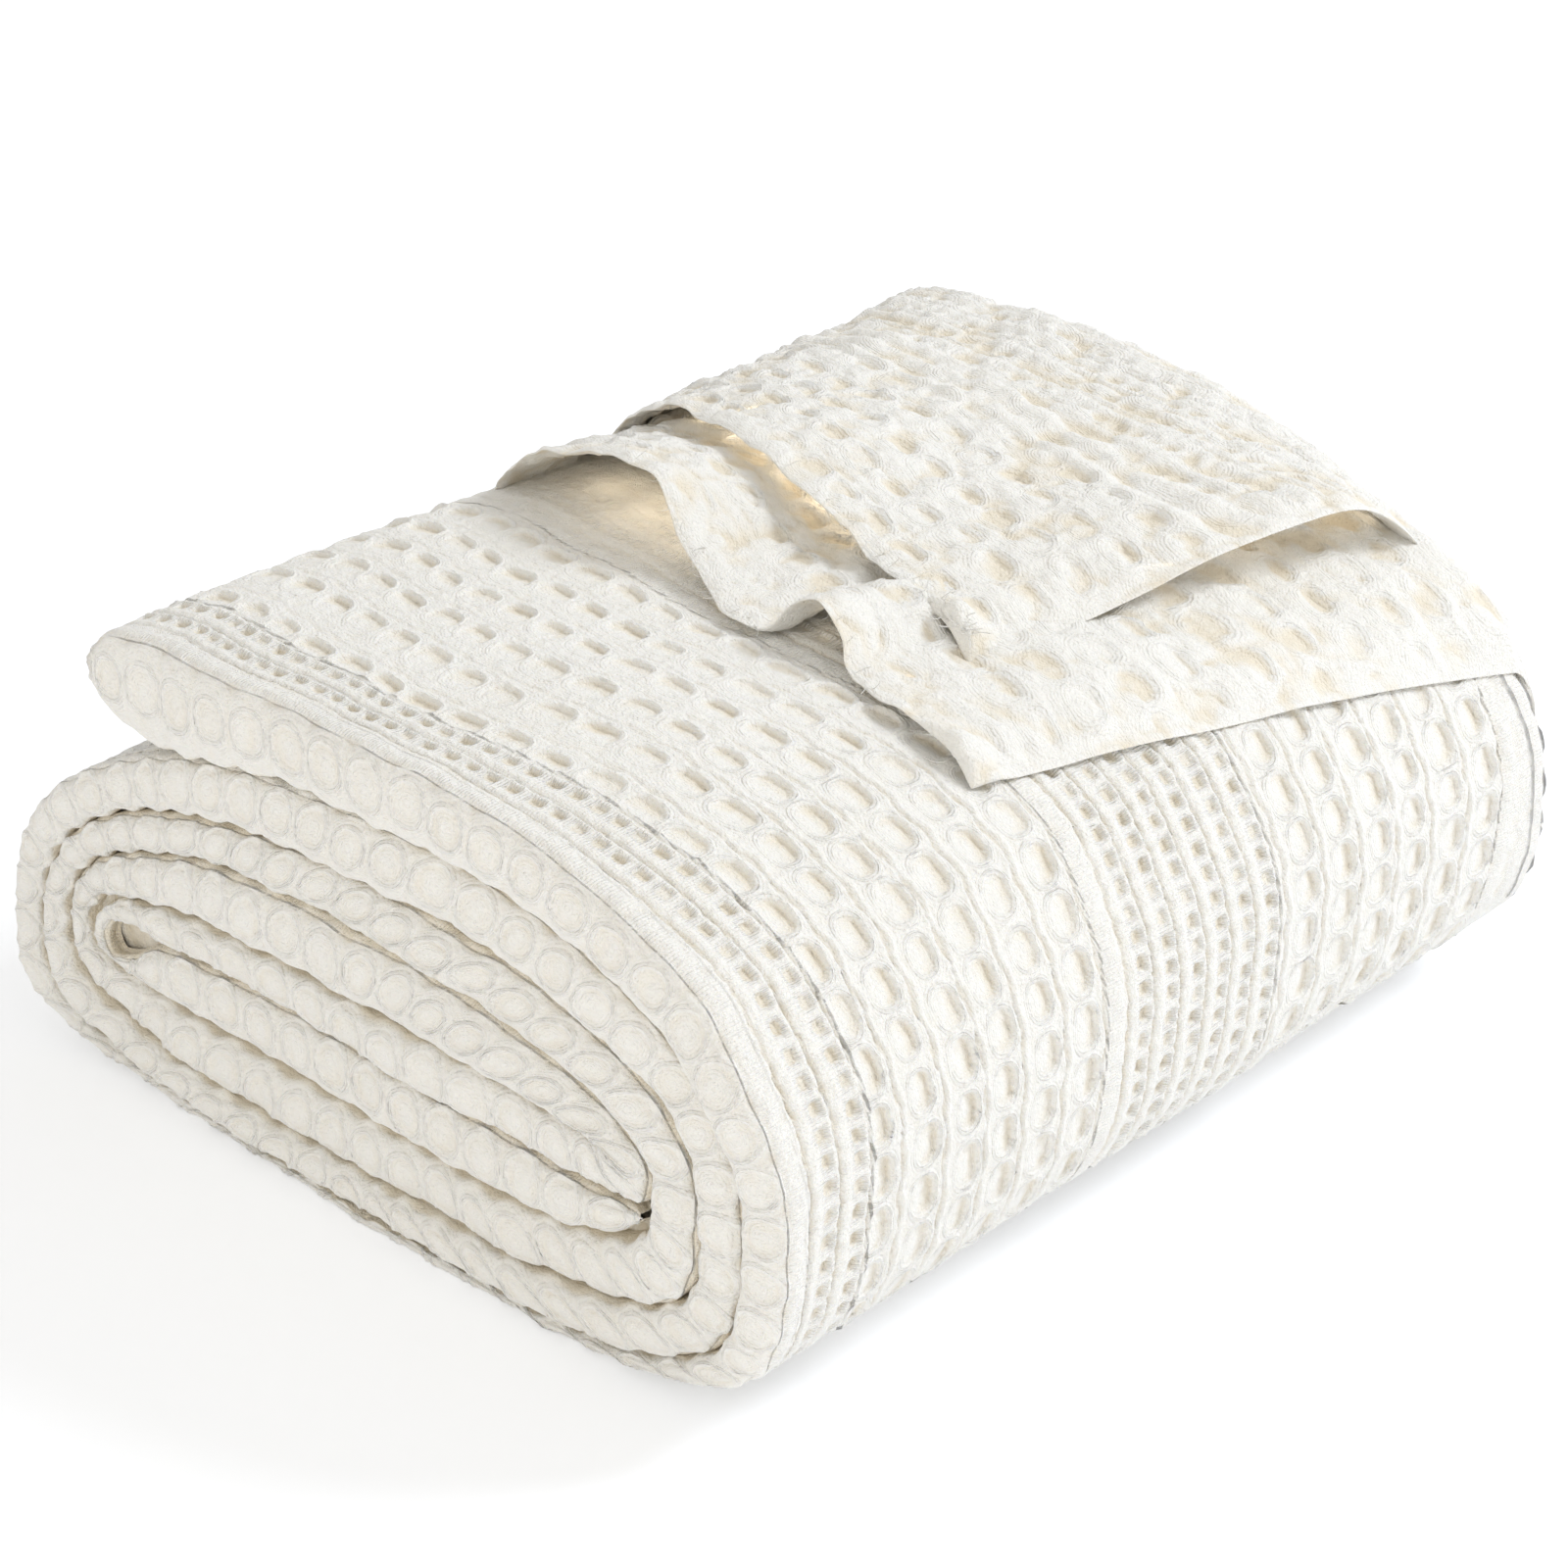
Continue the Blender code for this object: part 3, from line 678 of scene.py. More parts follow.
# %% [markdown]
# ## The folded edges
# At each end the strip shows its folded edge once for each turn, as a fat lip with one row of
# round cells. Each lip runs a little way in on both sides, where the next turn hides it.

# %% Lips
INNER_REACH = 0.0060  # how far a lip runs in on its inner side
OVER_LIP = 0.037  # the way over a lip that gets the fine grid
LAST = ALONG[-1] - 0.0005
LIPS = (
    # name, at the far end, from s, to s, grid step along the lip, grid step over it
    ("outer_turn_ends", False, 0.000, 1.300, 0.0010, 0.0008),
    ("inner_turn_ends", False, 1.299, LAST, 0.0012, 0.0010),
    ("far_turn_ends", True, 0.000, LAST, 0.0030, 0.0022),
)
for name, far, first, last, step_s, step_w in LIPS:
    shown = np.linspace(-LIP_ARC, JOIN + OVERLAP, round(OVER_LIP / step_w))
    rows = np.concatenate([np.linspace(-LIP_ARC - INNER_REACH, -LIP_ARC, 3)[:-1], shown])
    s, w = np.meshgrid(steps_between(first, last, step_s), rows)
    skin, weave, side = (far_skin, relief_from_far, -1) if far else (near_skin, relief, 1)
    points, normals, height = raised(skin, weave, s, w, side)
    # painted shade in the crevices: on the lip's hidden inner side, and past the first turn on its
    # outer side too
    crevice_shade = ease(0.0090, 0.0150, -w) + ease(0.0090, 0.0150, w) * ease(0.95, 1.05, s)
    loose = threads(s, w, far)
    pieces[name] = grid_object(name, points, normals, s, w, height, far, loose, crevice_shade)

# %% [markdown]
# Deep in the crevices more cloth shows. So a crumpled skin stands back behind the lips, at each
# end, as wide as the roll. In the three-cornered hollow at the left it comes further forward.

# %% Cloth deep in the crevices
ROUND, ROUND_LINES, OUT_LINES = (0.20, 1.06), 260, 60  # one turn as s, and grid lines
MIDST, HOLLOW = (0.0, 0.070), (-0.128, 0.056)  # a point inside that turn and the hollow, x and z
RECESSES = (("near_recess", 0.0120, False), ("far_recess", 0.0130, True))  # and their depth
for name, depth, far in RECESSES:
    s = np.linspace(*ROUND, ROUND_LINES)
    outer_x, outer_z, inner_x, inner_z = strip_at(s)
    x, z = (outer_x + inner_x) / 2, (outer_z + inner_z) / 2
    s, share = np.meshgrid(np.r_[s, 2 * s[-1] - s[-2]], np.linspace(0.02, 1, OUT_LINES))
    x = MIDST[0] + share * (np.r_[x, x[0]] - MIDST[0])
    z = MIDST[1] + share * (np.r_[z, z[0]] - MIDST[1])
    fold = (1 - np.abs(ripples(x + 0.4 * z, z, 0.016, 71))) ** 5
    height = uneven(x, z, (1.2, 0.011, 72), (0.4, 0.004, 73)) - 1.6 * fold
    height = height + 2.2 * bump(np.hypot(x - HOLLOW[0], z - HOLLOW[1]), 0.022)
    back = depth - MM * height
    points = sunk(x, FAR_END - back if far else NEAR_END + back, z)
    loose = x / MM, 0.3 + 0 * x
    # the last argument paints a shade of 0.6 over the whole of this skin deep in the crevices
    pieces[name] = grid_object(name, points, None, s, share * 0.1, height, far, loose, 0.6)

# %% [markdown]
# ## The loose layers
# Two layers of the cloth's end lie back over the far half of the roll. Each is one thin sheet
# that arches, dips to the layer below and turns down over the far end. Its front edge is soft
# and crumpled, its right edge hangs on what lies below it, and its corner is rolled up thick. A
# sheet is made as two grids, one a thickness above the other, that meet in a rounded rim.

# %% Where the loose layers lie
LOWER = {
    "corners": ((-0.1192, -0.0160), (0.1176, -0.0448), (-0.1192, 0.2096), (0.1600, 0.2096)),
    "bend": MM * np.array((
        # x, bend start, radius
        (-119.2, 176.8, 8.8),
        (117.6, 176.8, 8.8),
    )),
    "lifts": MM * np.array((
        # x, lift at front, behind it, half way, far, sway forward
        (-119.2, -4.0, -4.0, -4.0, -4.0, 0.0),
        (-110.4, 3.2, 2.4, 1.6, 1.6, 0.0),
        (-97.6, 11.2, 6.4, 3.2, 3.2, 0.8),
        (-80.8, 19.2, 10.4, 4.8, 3.2, 0.0),
        (-63.2, 26.4, 12.8, 5.6, 3.2, -0.8),
        (-45.6, 29.6, 13.6, 5.6, 3.2, -1.6),
        (-32.0, 28.0, 12.0, 4.8, 3.2, -1.6),
        (-21.6, 18.4, 9.6, 4.0, 3.2, 0.0),
        (-11.2, 10.4, 6.4, 3.2, 3.2, 1.6),
        (3.2, 4.8, 4.0, 3.2, 3.2, 6.4),
        (20.8, 3.6, 4.0, 3.2, 3.2, 11.2),
        (30.4, 4.0, 3.2, 3.2, 3.2, 8.8),
        (37.6, 12.0, 5.6, 3.2, 3.2, 3.2),
        (46.4, 16.8, 8.0, 3.2, 3.2, 0.0),
        (55.2, 12.0, 7.2, 3.2, 3.2, 0.0),
        (64.0, 5.6, 4.8, 3.2, 3.2, 3.2),
        (80.0, 4.8, 4.8, 4.0, 3.2, 4.0),
        (100.0, 6.0, 6.0, 5.2, 4.8, 1.6),
        (117.6, 6.0, 6.0, 5.2, 4.8, 0.0),
    )),
}
UPPER = {
    "corners": ((-0.1224, 0.0360), (0.0800, -0.0040), (-0.1224, 0.2320), (0.1216, 0.2320)),
    "bend": MM * np.array((
        # x, bend start, radius
        (-122.4, 178.4, 12.0),
        (0.0, 177.6, 13.6),
        (48.0, 164.0, 25.6),
        (80.0, 142.4, 46.4),
    )),
    "lifts": MM * np.array((
        # x, lift at front, behind it, half way, far, sway forward
        (-122.4, -3.2, -3.2, -3.2, -3.2, 0.0),
        (-114.4, 3.2, 4.8, 6.4, 8.0, -3.2),
        (-100.0, 12.8, 12.8, 12.0, 12.8, -6.4),
        (-80.0, 20.0, 18.4, 15.2, 13.6, -4.8),
        (-56.0, 24.0, 20.8, 16.0, 13.6, -1.6),
        (-28.0, 25.6, 20.8, 16.0, 12.8, 0.0),
        (0.0, 19.2, 16.8, 15.2, 12.0, 0.0),
        (24.0, 13.6, 14.4, 16.0, 11.2, 0.0),
        (48.0, 10.4, 12.8, 18.4, 10.4, 0.0),
        (64.0, 8.8, 12.8, 22.4, 10.4, 0.0),
        (80.0, 8.0, 13.6, 25.6, 11.2, 0.0),
    )),
}
LIFT_SPOTS = (0.0, 0.25, 0.55, 0.85)  # where the four lifts stand, from front to far
SHEET = 0.0026  # thickness
TOP_STEP, MIDDLE_STEP = 0.002, 0.004  # over which slopes are taken, metres and share


def roll_top(x, y):
    """Points on the top or right of the roll, and the way out of it there."""
    (top_x, top_z, over), (right_x, right_z, down) = PASSES[0][1:4], PASSES[1][1:4]

    def height(at):
        left = np.clip((top_x - at) / (top_x - FOLD_TIP[0]), 0, 1)
        right = np.clip((at - top_x) / (right_x - top_x), 0, 1)
        rising = FOLD_TIP[1] + (top_z - FOLD_TIP[1]) * (1 - left**over) ** (1 / over)
        falling = right_z + (top_z - right_z) * (1 - right**down) ** (1 / down)
        return np.where(at < top_x, rising, falling)

    slope = (height(x + TOP_STEP) - height(x - TOP_STEP)) / (2 * TOP_STEP)
    out = np.stack([-slope, 0 * x, 1 + 0 * x], -1) / np.hypot(slope, 1)[..., None]
    return sunk(x, y, height(x)), out


def layer_middle(layer, u, v):
    """Middle of a loose layer. u runs 0 to 1 left to right, v 0 to 1 front to far."""
    corners, lifts, bend = np.array(layer["corners"]), layer["lifts"], layer["bend"]
    front = blend(corners[0], corners[1], u[..., None])
    far = blend(corners[2], corners[3], u[..., None])
    x, y = np.moveaxis(blend(front, far, v[..., None]), -1, 0)
    spot = lifts[0][0] + u * (lifts[-1][0] - lifts[0][0])
    lift = smooth_through(LIFT_SPOTS, [between(lifts, k, spot) for k in (1, 2, 3, 4)], v)
    y = y - between(lifts, 5, spot) * (1 - ease(0, LIFT_SPOTS[1], v))
    start, radius = between(bend, 1, spot), between(bend, 2, spot)
    beyond = np.maximum(0, y - start)
    angle = np.minimum(math.pi / 2, beyond / radius)
    drop = radius * (1 - np.cos(angle)) + beyond - angle * radius
    surface, out = roll_top(x, np.minimum(y, start))
    point = surface + lift[..., None] * out
    y = np.minimum(y, start) + radius * np.sin(angle)
    return np.stack([point[..., 0], y, point[..., 2] - drop], -1)


print("loose layers", 2)

# %% [markdown]
# The same weave runs over the loose layers, but the cloth is slack there. So its rows wander, its
# cells pucker, and near the hems they flatten out.

# %% Loose layers as sheets
RIM, RIM_STEPS = 0.0030, 7  # width of the rounded rim, and its grid lines
PROBES, ROW_AT, COLUMN_AT = 400, 0.08, 0.6  # v of the row and u of the column that are measured
SLACK_LENGTH, SLACK_ROW, FINE_PER_ROW = 0.216, 0.0180, 1.45  # the slack cloth and its rows
NOWHERE = 9.0  # past the end of every layer
LOOSE = (
    # name, layer, fine rows from v, plain front, grid step, droop of the hem, up to v, rolled corner
    ("lower_layer", LOWER, NOWHERE, 0.026, 0.0016, 0.0036, NOWHERE, 0.0048),
    ("upper_layer", UPPER, 0.52, 0.014, 0.0013, 0.0048, 0.20, 0.0062),
)


def slack_weave(a, b, v, fine_from, plain_front):
    """Relief and threads of a loose layer: coarse cells, then fine rows past fine_from."""
    drift = uneven(a, b, (0.0026, 0.036, 53), (0.0010, 0.015, 64))
    row_place = (v * SLACK_LENGTH + drift) / SLACK_ROW
    cell_place = (a + uneven(a, b, (0.0034, 0.040, 54), (0.0014, 0.016, 55))) / CELL
    row = np.floor(row_place)
    fray = ripples(a, b, 0.0018, 65)
    cell = cell_place + 0.25 * scatter(row, 0 * row, 56), row_place - row - 0.5, row + 500
    fine_place = row_place * FINE_PER_ROW
    fine_row = np.floor(fine_place)
    pit = 2 * cell_place, -(fine_place - fine_row - 0.5), fine_row + 600
    share = ease(fine_from - 0.012, fine_from + 0.012, v)
    woven = blend(coarse_relief(*cell, 0.5, fray), fine_relief(*pit, 0.6, fray), share)
    ridged = ease(fine_from - 0.14, fine_from - 0.12, v) * (1 - ease(fine_from - 0.02, fine_from, v))
    ridge = 0.9 * np.cos(2 * math.pi * fine_place) + 0.25 * np.cos(2 * math.pi * cell_place)
    woven = blend(woven, ridge, ridged)
    from_front = b + 0.006 * ripples(a, b, 0.02, 66)
    plain = ease(0.0030, 0.0080, a) * ease(0.5 * plain_front, plain_front, from_front)
    creases = [(1 - np.abs(ripples(a, b, size, k))) ** 7 for size, k in ((0.0125, 67), (0.0070, 68))]
    puckers = uneven(a, b, (1.1, 0.010, 57), (0.6, 0.0045, 58), (0.20, 0.0023, 69))
    height = plain * woven + puckers - 0.80 * sum(creases)
    r = coarse_cell(*cell, 0)[3]
    shown = plain * (0.15 + 0.45 * bump(r - 1.15, 0.24)) + 0.2 * (1 - plain)
    return height, TO_EDGE * r, shown


def loose_sheet(name, layer, fine_from, plain_front, step, droop, lies_to, corner):
    """A closed thin sheet over a layer's middle surface, and its flat width and length."""
    probe = np.linspace(0, 1, PROBES)
    across = distance_along(layer_middle(layer, probe, ROW_AT + 0 * probe))
    along = distance_along(layer_middle(layer, COLUMN_AT + 0 * probe, probe))
    width, length = across[-1], along[-1]
    turned = np.linspace(math.pi / 2, 0, RIM_STEPS)  # a right angle at the very edge, 0 inside
    rim = RIM * (1 - np.sin(turned))

    def lines(reach):
        """Grid lines from rim to rim, and how far the sheet is turned at each."""
        inside = np.linspace(RIM, reach - RIM, round((reach - 2 * RIM) / step))[1:-1]
        bends = np.concatenate([turned, 0 * inside, turned[::-1]])
        return np.concatenate([rim, inside, reach - rim[::-1]]), np.cos(bends)

    (a, full_a), (b, full_b) = lines(width), lines(length)  # from the right hem and the front
    u = 1 - np.interp(a, width - across[::-1], 1 - probe[::-1])
    u, v = np.meshgrid(u, np.interp(b, along, probe))
    a, b = np.meshgrid(a, b)
    full = full_a[None, :] * full_b[:, None]

    def centre(u, v):
        return layer_middle(layer, np.clip(u, 0, 1), np.clip(v, 0, 1))

    out = unit(np.cross(*slopes(centre, u, v, MIDDLE_STEP)))
    slack = uneven(a, b, (0.0012, 0.034, 51), (0.0007, 0.017, 52))
    slack = slack - droop * (1 - ease(0, 0.018, a)) * (1 - ease(lies_to, lies_to + 0.25, v))
    crumpled = uneven(a, b, (0.0011, 0.011, 59), (0.0005, 0.005, 60))
    points = centre(u, v) + out * (slack + bump(b, 0.016) * crumpled)[..., None]
    edge = np.minimum(np.minimum(a, width - a), b)
    half = SHEET / 2 * (0.45 + 0.55 * ease(0, 0.008, edge))
    rolled = corner * np.exp(-(((a - 0.010) / 0.014) ** 2) - ((b - 0.005) / 0.008) ** 2)
    rolled = rolled * (1 + 0.35 * ripples(a, b, 0.0045, 63))
    height, threads_at, shown = slack_weave(a, b, v, fine_from, plain_front)
    raise_by = MM * height * ease(0, 0.004, edge)
    tops = points + out * (full * (half + rolled + raise_by))[..., None]
    unders = points - out * (full * (half - 0.6 * raise_by))[..., None]
    top = grid_object(name, tops, None, a, b, height, True, (threads_at, shown))
    under = grid_object(name + "_under", unders, None, a, b, -height, loose=(threads_at, 0.5 * shown))
    shell = bmesh.new()  # both sides as one closed mesh
    shell.from_mesh(top.data)
    shell.from_mesh(under.data)
    bmesh.ops.remove_doubles(shell, verts=shell.verts, dist=1e-6)
    shell.to_mesh(top.data)
    shell.free()
    bpy.data.objects.remove(under)
    top.data.shade_smooth()
    print(name, "is", round(width, 3), "by", round(length, 3), "m")
    return top, (width, length)


flat_sizes = {}
for name, *settings in LOOSE:
    pieces[name], flat_sizes[name] = loose_sheet(name, *settings)

# %% [markdown]
# ## Cotton
# Undyed cotton is nearly white. What looks cream is light that has gone through the cloth or
# bounced between its cords. So the colour stays pale, a warm shade is painted into the hollows
# for the light that bounces there, and a little light travels inside. Fine threads run both ways,
# a noise breaks them up, and the loose threads of the weave lie round each cell, about a
# millimetre apart.

# %% Cotton material
THREAD, LOOSE_THREAD = 0.0006, 1.10  # metres, millimetres
# the third colour is painted shade: the warm beige that hollows and crevices get
PALE, PALEST, PAINTED_SHADE_COLOUR = (0.852, 0.838, 0.796, 1), (0.880, 0.870, 0.838, 1), (0.80, 0.715, 0.56, 1)


def fill(tree, node, inputs):
    """Sets a node's inputs. Each is a value, a socket, or a node whose first socket is meant."""
    for key, value in inputs:
        if isinstance(value, bpy.types.Node):
            value = value.outputs[0]
        if isinstance(value, bpy.types.NodeSocket):
            tree.links.new(value, node.inputs[key])
        else:
            node.inputs[key].default_value = value


def adder(tree):
    """A function that adds a node to the tree."""

    def add(kind, inputs, **settings):
        node = tree.nodes.new(kind)
        for key, value in settings.items():
            setattr(node, key, value)
        fill(tree, node, inputs)
        return node

    return add


def cotton(name, glow, depth):
    """Cotton cloth. glow is the share of the light that travels inside, and depth how far."""
    material = bpy.data.materials.new(name)
    material.use_nodes = True
    tree = material.node_tree
    add = adder(tree)

    def maths(operation, *values):
        return add("ShaderNodeMath", enumerate(values), operation=operation)

    def noise(scale, detail):
        inputs = [("Scale", scale), ("Detail", detail), ("Vector", body.outputs["Object"])]
        return add("ShaderNodeTexNoise", inputs).outputs["Fac"]

    def read(attribute):
        return add("ShaderNodeAttribute", [], attribute_name=attribute).outputs["Fac"]

    def mixed(factor, first, second):
        inputs = [("Factor", factor), ("A", first), ("B", second)]
        return add("ShaderNodeMix", inputs, data_type="RGBA").outputs["Result"]

    place = add("ShaderNodeUVMap", [], uv_map="weave")
    body = add("ShaderNodeTexCoord", [])
    wave = [
        ("Scale", 2 * math.pi / (20 * THREAD)),  # the texture has 20 radians to a unit
        ("Distortion", 1.2),
        ("Detail", 1.0),
        ("Detail Scale", 0.3),
        ("Vector", place.outputs["UV"]),
    ]
    both_ways = [add("ShaderNodeTexWave", wave, bands_direction=way).outputs["Fac"] for way in "XY"]
    fine = maths("MULTIPLY", maths("MAXIMUM", *both_ways), 0.07)
    strand = maths("SINE", maths("MULTIPLY", read("across"), 2 * math.pi / LOOSE_THREAD))
    broken = maths("MULTIPLY", read("shown"), maths("MULTIPLY", noise(260, 2), 0.42))
    loose = maths("MULTIPLY", strand, broken)
    fuzz = maths("MULTIPLY", noise(1100, 4), 0.75), maths("MULTIPLY", noise(420, 3), 0.80)
    surface = maths("ADD", maths("ADD", fine, loose), maths("ADD", *fuzz))
    bumps = add("ShaderNodeBump", [("Strength", 1.0), ("Distance", MM), ("Height", surface)])
    # painted shade: where the mesh marks a place as shaded, the warm shade colour is mixed into the
    # base colour
    reach = [("Value", read("painted_shade")), ("From Min", 0.0), ("From Max", 0.8), ("To Max", 0.70)]
    shade_share = add("ShaderNodeMapRange", reach).outputs["Result"]
    look = [
        ("Base Color", mixed(shade_share, mixed(noise(25, 2), PALE, PALEST), PAINTED_SHADE_COLOUR)),
        ("Normal", bumps),
        ("Roughness", 0.92),
        ("Specular IOR Level", 0.2),
        ("Subsurface Weight", glow),
        ("Subsurface Radius", (1.0, 0.80, 0.52)),
        ("Subsurface Scale", depth),
    ]
    fill(tree, tree.nodes["Principled BSDF"], look)
    return material


packed_cotton = cotton("waffle_cotton_cloth", 0.10, 0.0010)
loose_cotton = cotton("waffle_cotton_loose", 0.06, 0.0005)  # or the light below shows on top

# %% [markdown]
# ## Frayed ends
# Short ends of thread stand out along the cut front edges, most of all at the rolled corner. One
# bent thread is repeated along a path by a small node tree, turned and scaled at random.

# %% Frayed ends
THREAD_SIDES, THREAD_BENDS, THREAD_RADIUS = 3, 5, 0.028  # the radius as a share of the length
PATH_POINTS, ON_EDGE = 60, 0.004  # of the line they grow from, and its v on the layer
FRAYED = (
    # name, layer, from u, to u, height above the edge, threads, mean length of one
    ("corner_threads", UPPER, 0.90, 0.985, 0.002, 46, 0.0050),
    ("lower_threads", LOWER, 0.30, 0.99, 0.000, 90, 0.0038),
    ("upper_threads", UPPER, 0.30, 0.95, 0.000, 80, 0.0038),
)


def fray_tree():
    tree = bpy.data.node_groups.new("frayed ends", "GeometryNodeTree")
    tree.is_modifier = True
    for socket, way, kind in (
        ("Geometry", "INPUT", "Geometry"),
        ("Threads", "INPUT", "Int"),
        ("Length", "INPUT", "Float"),
        ("Cotton", "INPUT", "Material"),
        ("Geometry", "OUTPUT", "Geometry"),
    ):
        tree.interface.new_socket(socket, in_out=way, socket_type="NodeSocket" + kind)
    add = adder(tree)
    given = add("NodeGroupInput", []).outputs
    path = add("GeometryNodeMeshToCurve", [("Mesh", given["Geometry"])])
    along = [("Curve", path), ("Count", given["Threads"])]
    spots = add("GeometryNodeCurveToPoints", along)
    bend = [("Start", (0, 0, 0)), ("Middle", (0.5, 0.3, 0)), ("End", (1, 0, 0.2))]
    arc = add("GeometryNodeCurveQuadraticBezier", [("Resolution", THREAD_BENDS), *bend])
    circle = [("Resolution", THREAD_SIDES), ("Radius", THREAD_RADIUS)]
    ring = add("GeometryNodeCurvePrimitiveCircle", circle)
    strand = [("Curve", arc), ("Profile Curve", ring), ("Fill Caps", True)]
    thread = add("GeometryNodeCurveToMesh", strand)
    turns = [("Seed", 5), ("Min", (-0.5, -0.9, -math.pi)), ("Max", (0.5, 0.5, math.pi))]
    turned = add("FunctionNodeRandomValue", turns, data_type="FLOAT_VECTOR")
    size = add("FunctionNodeRandomValue", [("Seed", 9), (2, 0.5), (3, 1.5)], data_type="FLOAT")
    lengths = [(0, size.outputs[1]), (1, given["Length"])]
    scale = add("ShaderNodeMath", lengths, operation="MULTIPLY")
    placed = [("Points", spots), ("Instance", thread), ("Rotation", turned), ("Scale", scale)]
    threads_on_path = add("GeometryNodeInstanceOnPoints", placed)
    real = add("GeometryNodeRealizeInstances", [("Geometry", threads_on_path)])
    dye = [("Geometry", real), ("Material", given["Cotton"])]
    add("NodeGroupOutput", [("Geometry", add("GeometryNodeSetMaterial", dye))])
    return tree


def frayed(name, layer, first, last, lift, threads_on_it, length):
    """Loose thread ends along part of a layer's front edge, as one plain mesh."""
    u = np.linspace(first, last, PATH_POINTS)
    path = layer_middle(layer, u, ON_EDGE + 0 * u) + MOVED + (0, 0, lift)
    mesh = bpy.data.meshes.new(name)
    mesh.from_pydata(path.tolist(), [(k, k + 1) for k in range(len(path) - 1)], [])
    carrier = in_scene(name + "_path", mesh)
    growth = carrier.modifiers.new("frayed ends", "NODES")
    growth.node_group = FRAY
    given = {"Threads": threads_on_it, "Length": length, "Cotton": loose_cotton}
    for item in FRAY.interface.items_tree:
        if item.in_out == "INPUT" and item.name in given:
            growth[item.identifier] = given[item.name]
    bpy.context.view_layer.update()
    grown = carrier.evaluated_get(bpy.context.evaluated_depsgraph_get())
    plain = bpy.data.meshes.new_from_object(grown)
    bpy.data.objects.remove(carrier)
    print(name, sum(len(face.vertices) - 2 for face in plain.polygons), "triangles")
    return in_scene(name, plain)


FRAY = fray_tree()
for name, *settings in FRAYED:
    pieces[name] = frayed(name, *settings)

# %% [markdown]
# ## Stage
# A white floor and big soft lights. The brightest comes from behind and to the right, above, as
# in the photograph, so each cell's far wall is in shade and the wound end is soft cream.

# %% Floor and lights
FLOOR_HALF = 6
WHITE, FLOOR_COLOUR, FLOOR_GLOW = (1, 1, 1, 1), (0.930, 0.950, 0.990, 1), 0.20
SKY_COLOUR, SKY_STRENGTH = (1, 0.985, 0.955, 1), 0.745
LIGHTS_LOOK_AT = Vector((0, 0, 0.1))
LIGHTS = (
    # name, place, size, watts, colour
    ("window", (1.15, 1.45, 1.75), 0.9, 31, (0.96, 1.0, 1.06)),
    ("reflector", (0.55, -1.45, 0.42), 1.5, 4.9, (1.0, 0.90, 0.74)),
)
corners = [(x * FLOOR_HALF, y * FLOOR_HALF, 0) for x, y in ((-1, -1), (1, -1), (1, 1), (-1, 1))]
floor_mesh = bpy.data.meshes.new("floor")
floor_mesh.from_pydata(corners, [], [(0, 1, 2, 3)])
floor = in_scene("floor", floor_mesh)
paint = bpy.data.materials.new("floor_white")
paint.use_nodes = True
look = [("Base Color", FLOOR_COLOUR), ("Roughness", 0.9)]
look += [("Emission Color", WHITE), ("Emission Strength", FLOOR_GLOW)]
fill(paint.node_tree, paint.node_tree.nodes["Principled BSDF"], look)
floor_mesh.materials.append(paint)

bpy.context.scene.view_settings.view_transform = "Standard"  # white paper stays pure white

world = bpy.data.worlds.new("studio")
world.use_nodes = True
sky = [("Color", SKY_COLOUR), ("Strength", SKY_STRENGTH)]
fill(world.node_tree, world.node_tree.nodes["Background"], sky)
bpy.context.scene.world = world


def area_light(name, shape, size, power, colour, place, way):
    data = bpy.data.lights.new(name, "AREA")
    data.shape, data.size, data.energy, data.color = shape, size[0], power, colour
    if shape == "RECTANGLE":
        data.size_y = size[1]
    light = in_scene(name, data)
    aim(light, place, way)
    return light


for name, place, size, power, colour in LIGHTS:
    area_light(name, "DISK", (size,), power, colour, place, LIGHTS_LOOK_AT - Vector(place))

# %% [markdown]
# Under the loose layers the light that has come through the cloth goes to and fro many times and
# turns warm. A renderer stops after a few turns, so small warm panels, which the camera doesn't
# see, stand in for the rest. Each shines both ways, half way between two surfaces, and is small
# enough not to stick out of either.

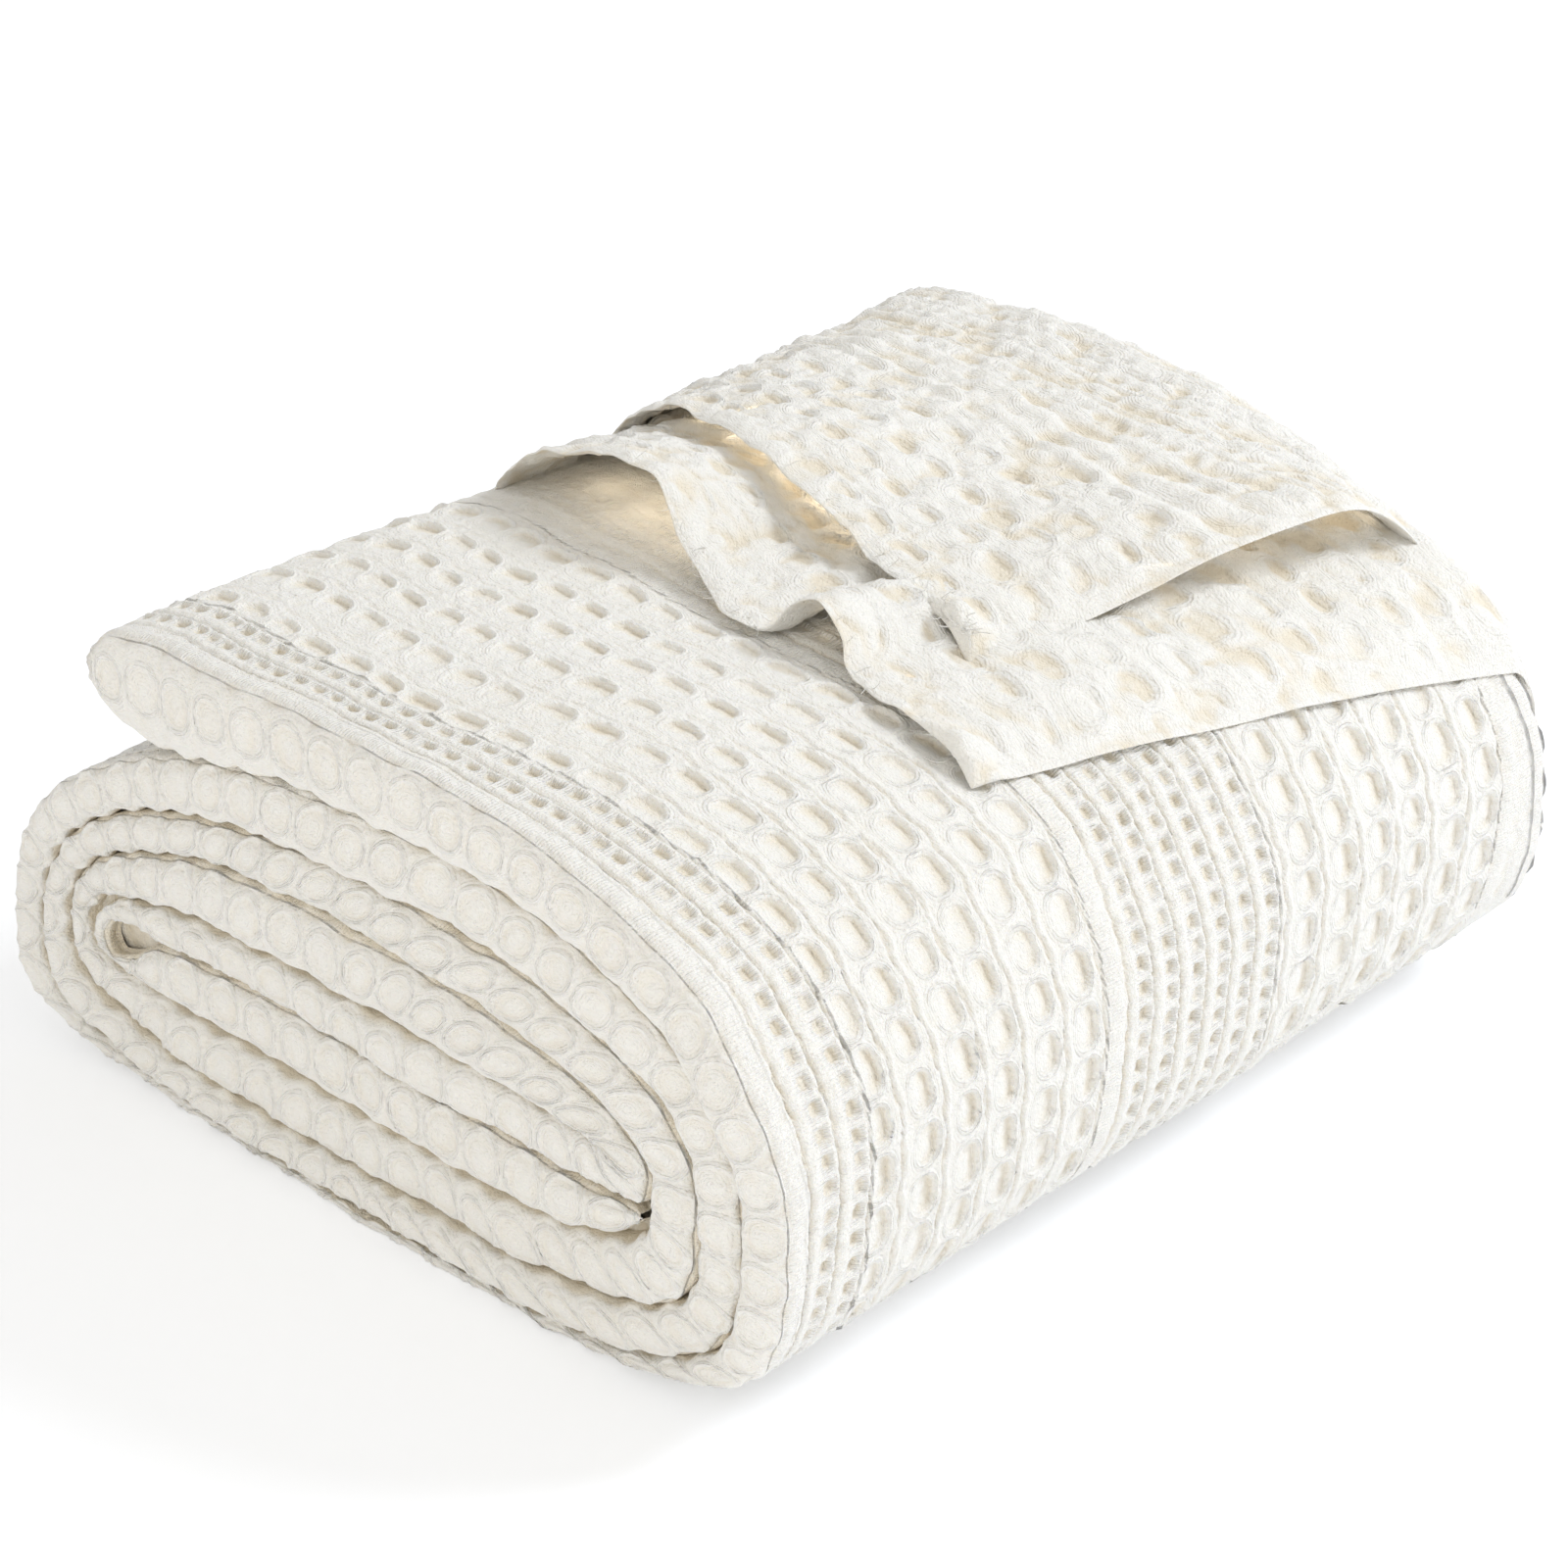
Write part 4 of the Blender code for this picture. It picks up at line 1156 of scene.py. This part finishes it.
# %% Warm light under the layers
GLOW, WARM = 0.75, (1.0, 0.84, 0.62)  # how bright a panel is, and its colour
PANELS = (
    # u and v on the layer above, u and v on the lower layer (None: on the roll), size, side, share
    (0.16, 0.11, None, None, 0.012, 0.014, 1.10),
    (0.27, 0.10, None, None, 0.024, 0.030, 0.95),
    (0.38, 0.08, None, None, 0.020, 0.026, 0.75),
    (0.55, 0.04, None, None, 0.010, 0.010, 0.40),
    (0.68, 0.05, None, None, 0.012, 0.010, 0.40),
    (0.80, 0.05, None, None, 0.012, 0.010, 0.40),
    (0.16, 0.12, 0.19, 0.30, 0.009, 0.009, 3.20),
    (0.27, 0.10, 0.29, 0.27, 0.014, 0.014, 2.20),
    (0.35, 0.10, 0.37, 0.24, 0.014, 0.014, 1.90),
    (0.42, 0.10, 0.43, 0.23, 0.014, 0.014, 2.20),
    (0.49, 0.11, 0.49, 0.22, 0.010, 0.010, 3.20),
    (0.56, 0.11, 0.55, 0.21, 0.007, 0.007, 4.50),
    (0.92, 0.34, 0.79, 0.46, 0.012, 0.024, 0.50),
    (0.92, 0.52, 0.79, 0.62, 0.016, 0.028, 0.50),
    (0.92, 0.70, 0.79, 0.78, 0.016, 0.028, 0.50),
    (0.92, 0.86, 0.79, 0.90, 0.012, 0.020, 0.50),
)


def spot(layer, u, v):
    return layer_middle(layer, np.array([u]), np.array([v]))[0]


for u, v, low_u, low_v, size, side, share in PANELS:
    above = spot(LOWER if low_u is None else UPPER, u, v)
    below = roll_top(above[:1], above[1:2])[0][0] if low_u is None else spot(LOWER, low_u, low_v)
    power = share * GLOW * math.pi * size * side
    place, up = (below + above) / 2 + MOVED, Vector(above - below).normalized()
    for way in (up, -up):
        panel = area_light("warm_panel", "RECTANGLE", (size, side), power, WARM, place, way)
        panel.visible_camera = False

# %% [markdown]
# ## Hand over to the frame
# Each piece rides on the one body, stands for the solid and takes its material slot. All but the
# frayed threads are sheets of the same cloth, and their flat sizes are listed here.

# %% Finish
FLAT = {
    # piece: flat width and length in metres
    "wrap_top": (0.250, 0.1685),
    "wrap_top_covered": (0.250, 0.1671),
    "wrap_side": (0.1505, 0.3351),
    "wrap_under": (0.6205, 0.3351),
    "outer_turn_ends": (1.300, 0.0426),
    "inner_turn_ends": (1.724, 0.0426),
    "far_turn_ends": (3.023, 0.0426),
    "near_recess": (0.330, 0.130),
    "far_recess": (0.330, 0.130),
    **flat_sizes,
}
for name, piece in pieces.items():
    if name in FLAT:  # the threads have got theirs from the node tree
        piece.data.materials.append(loose_cotton if name in flat_sizes else packed_cotton)
    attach(piece, "root")
    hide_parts("blanket")
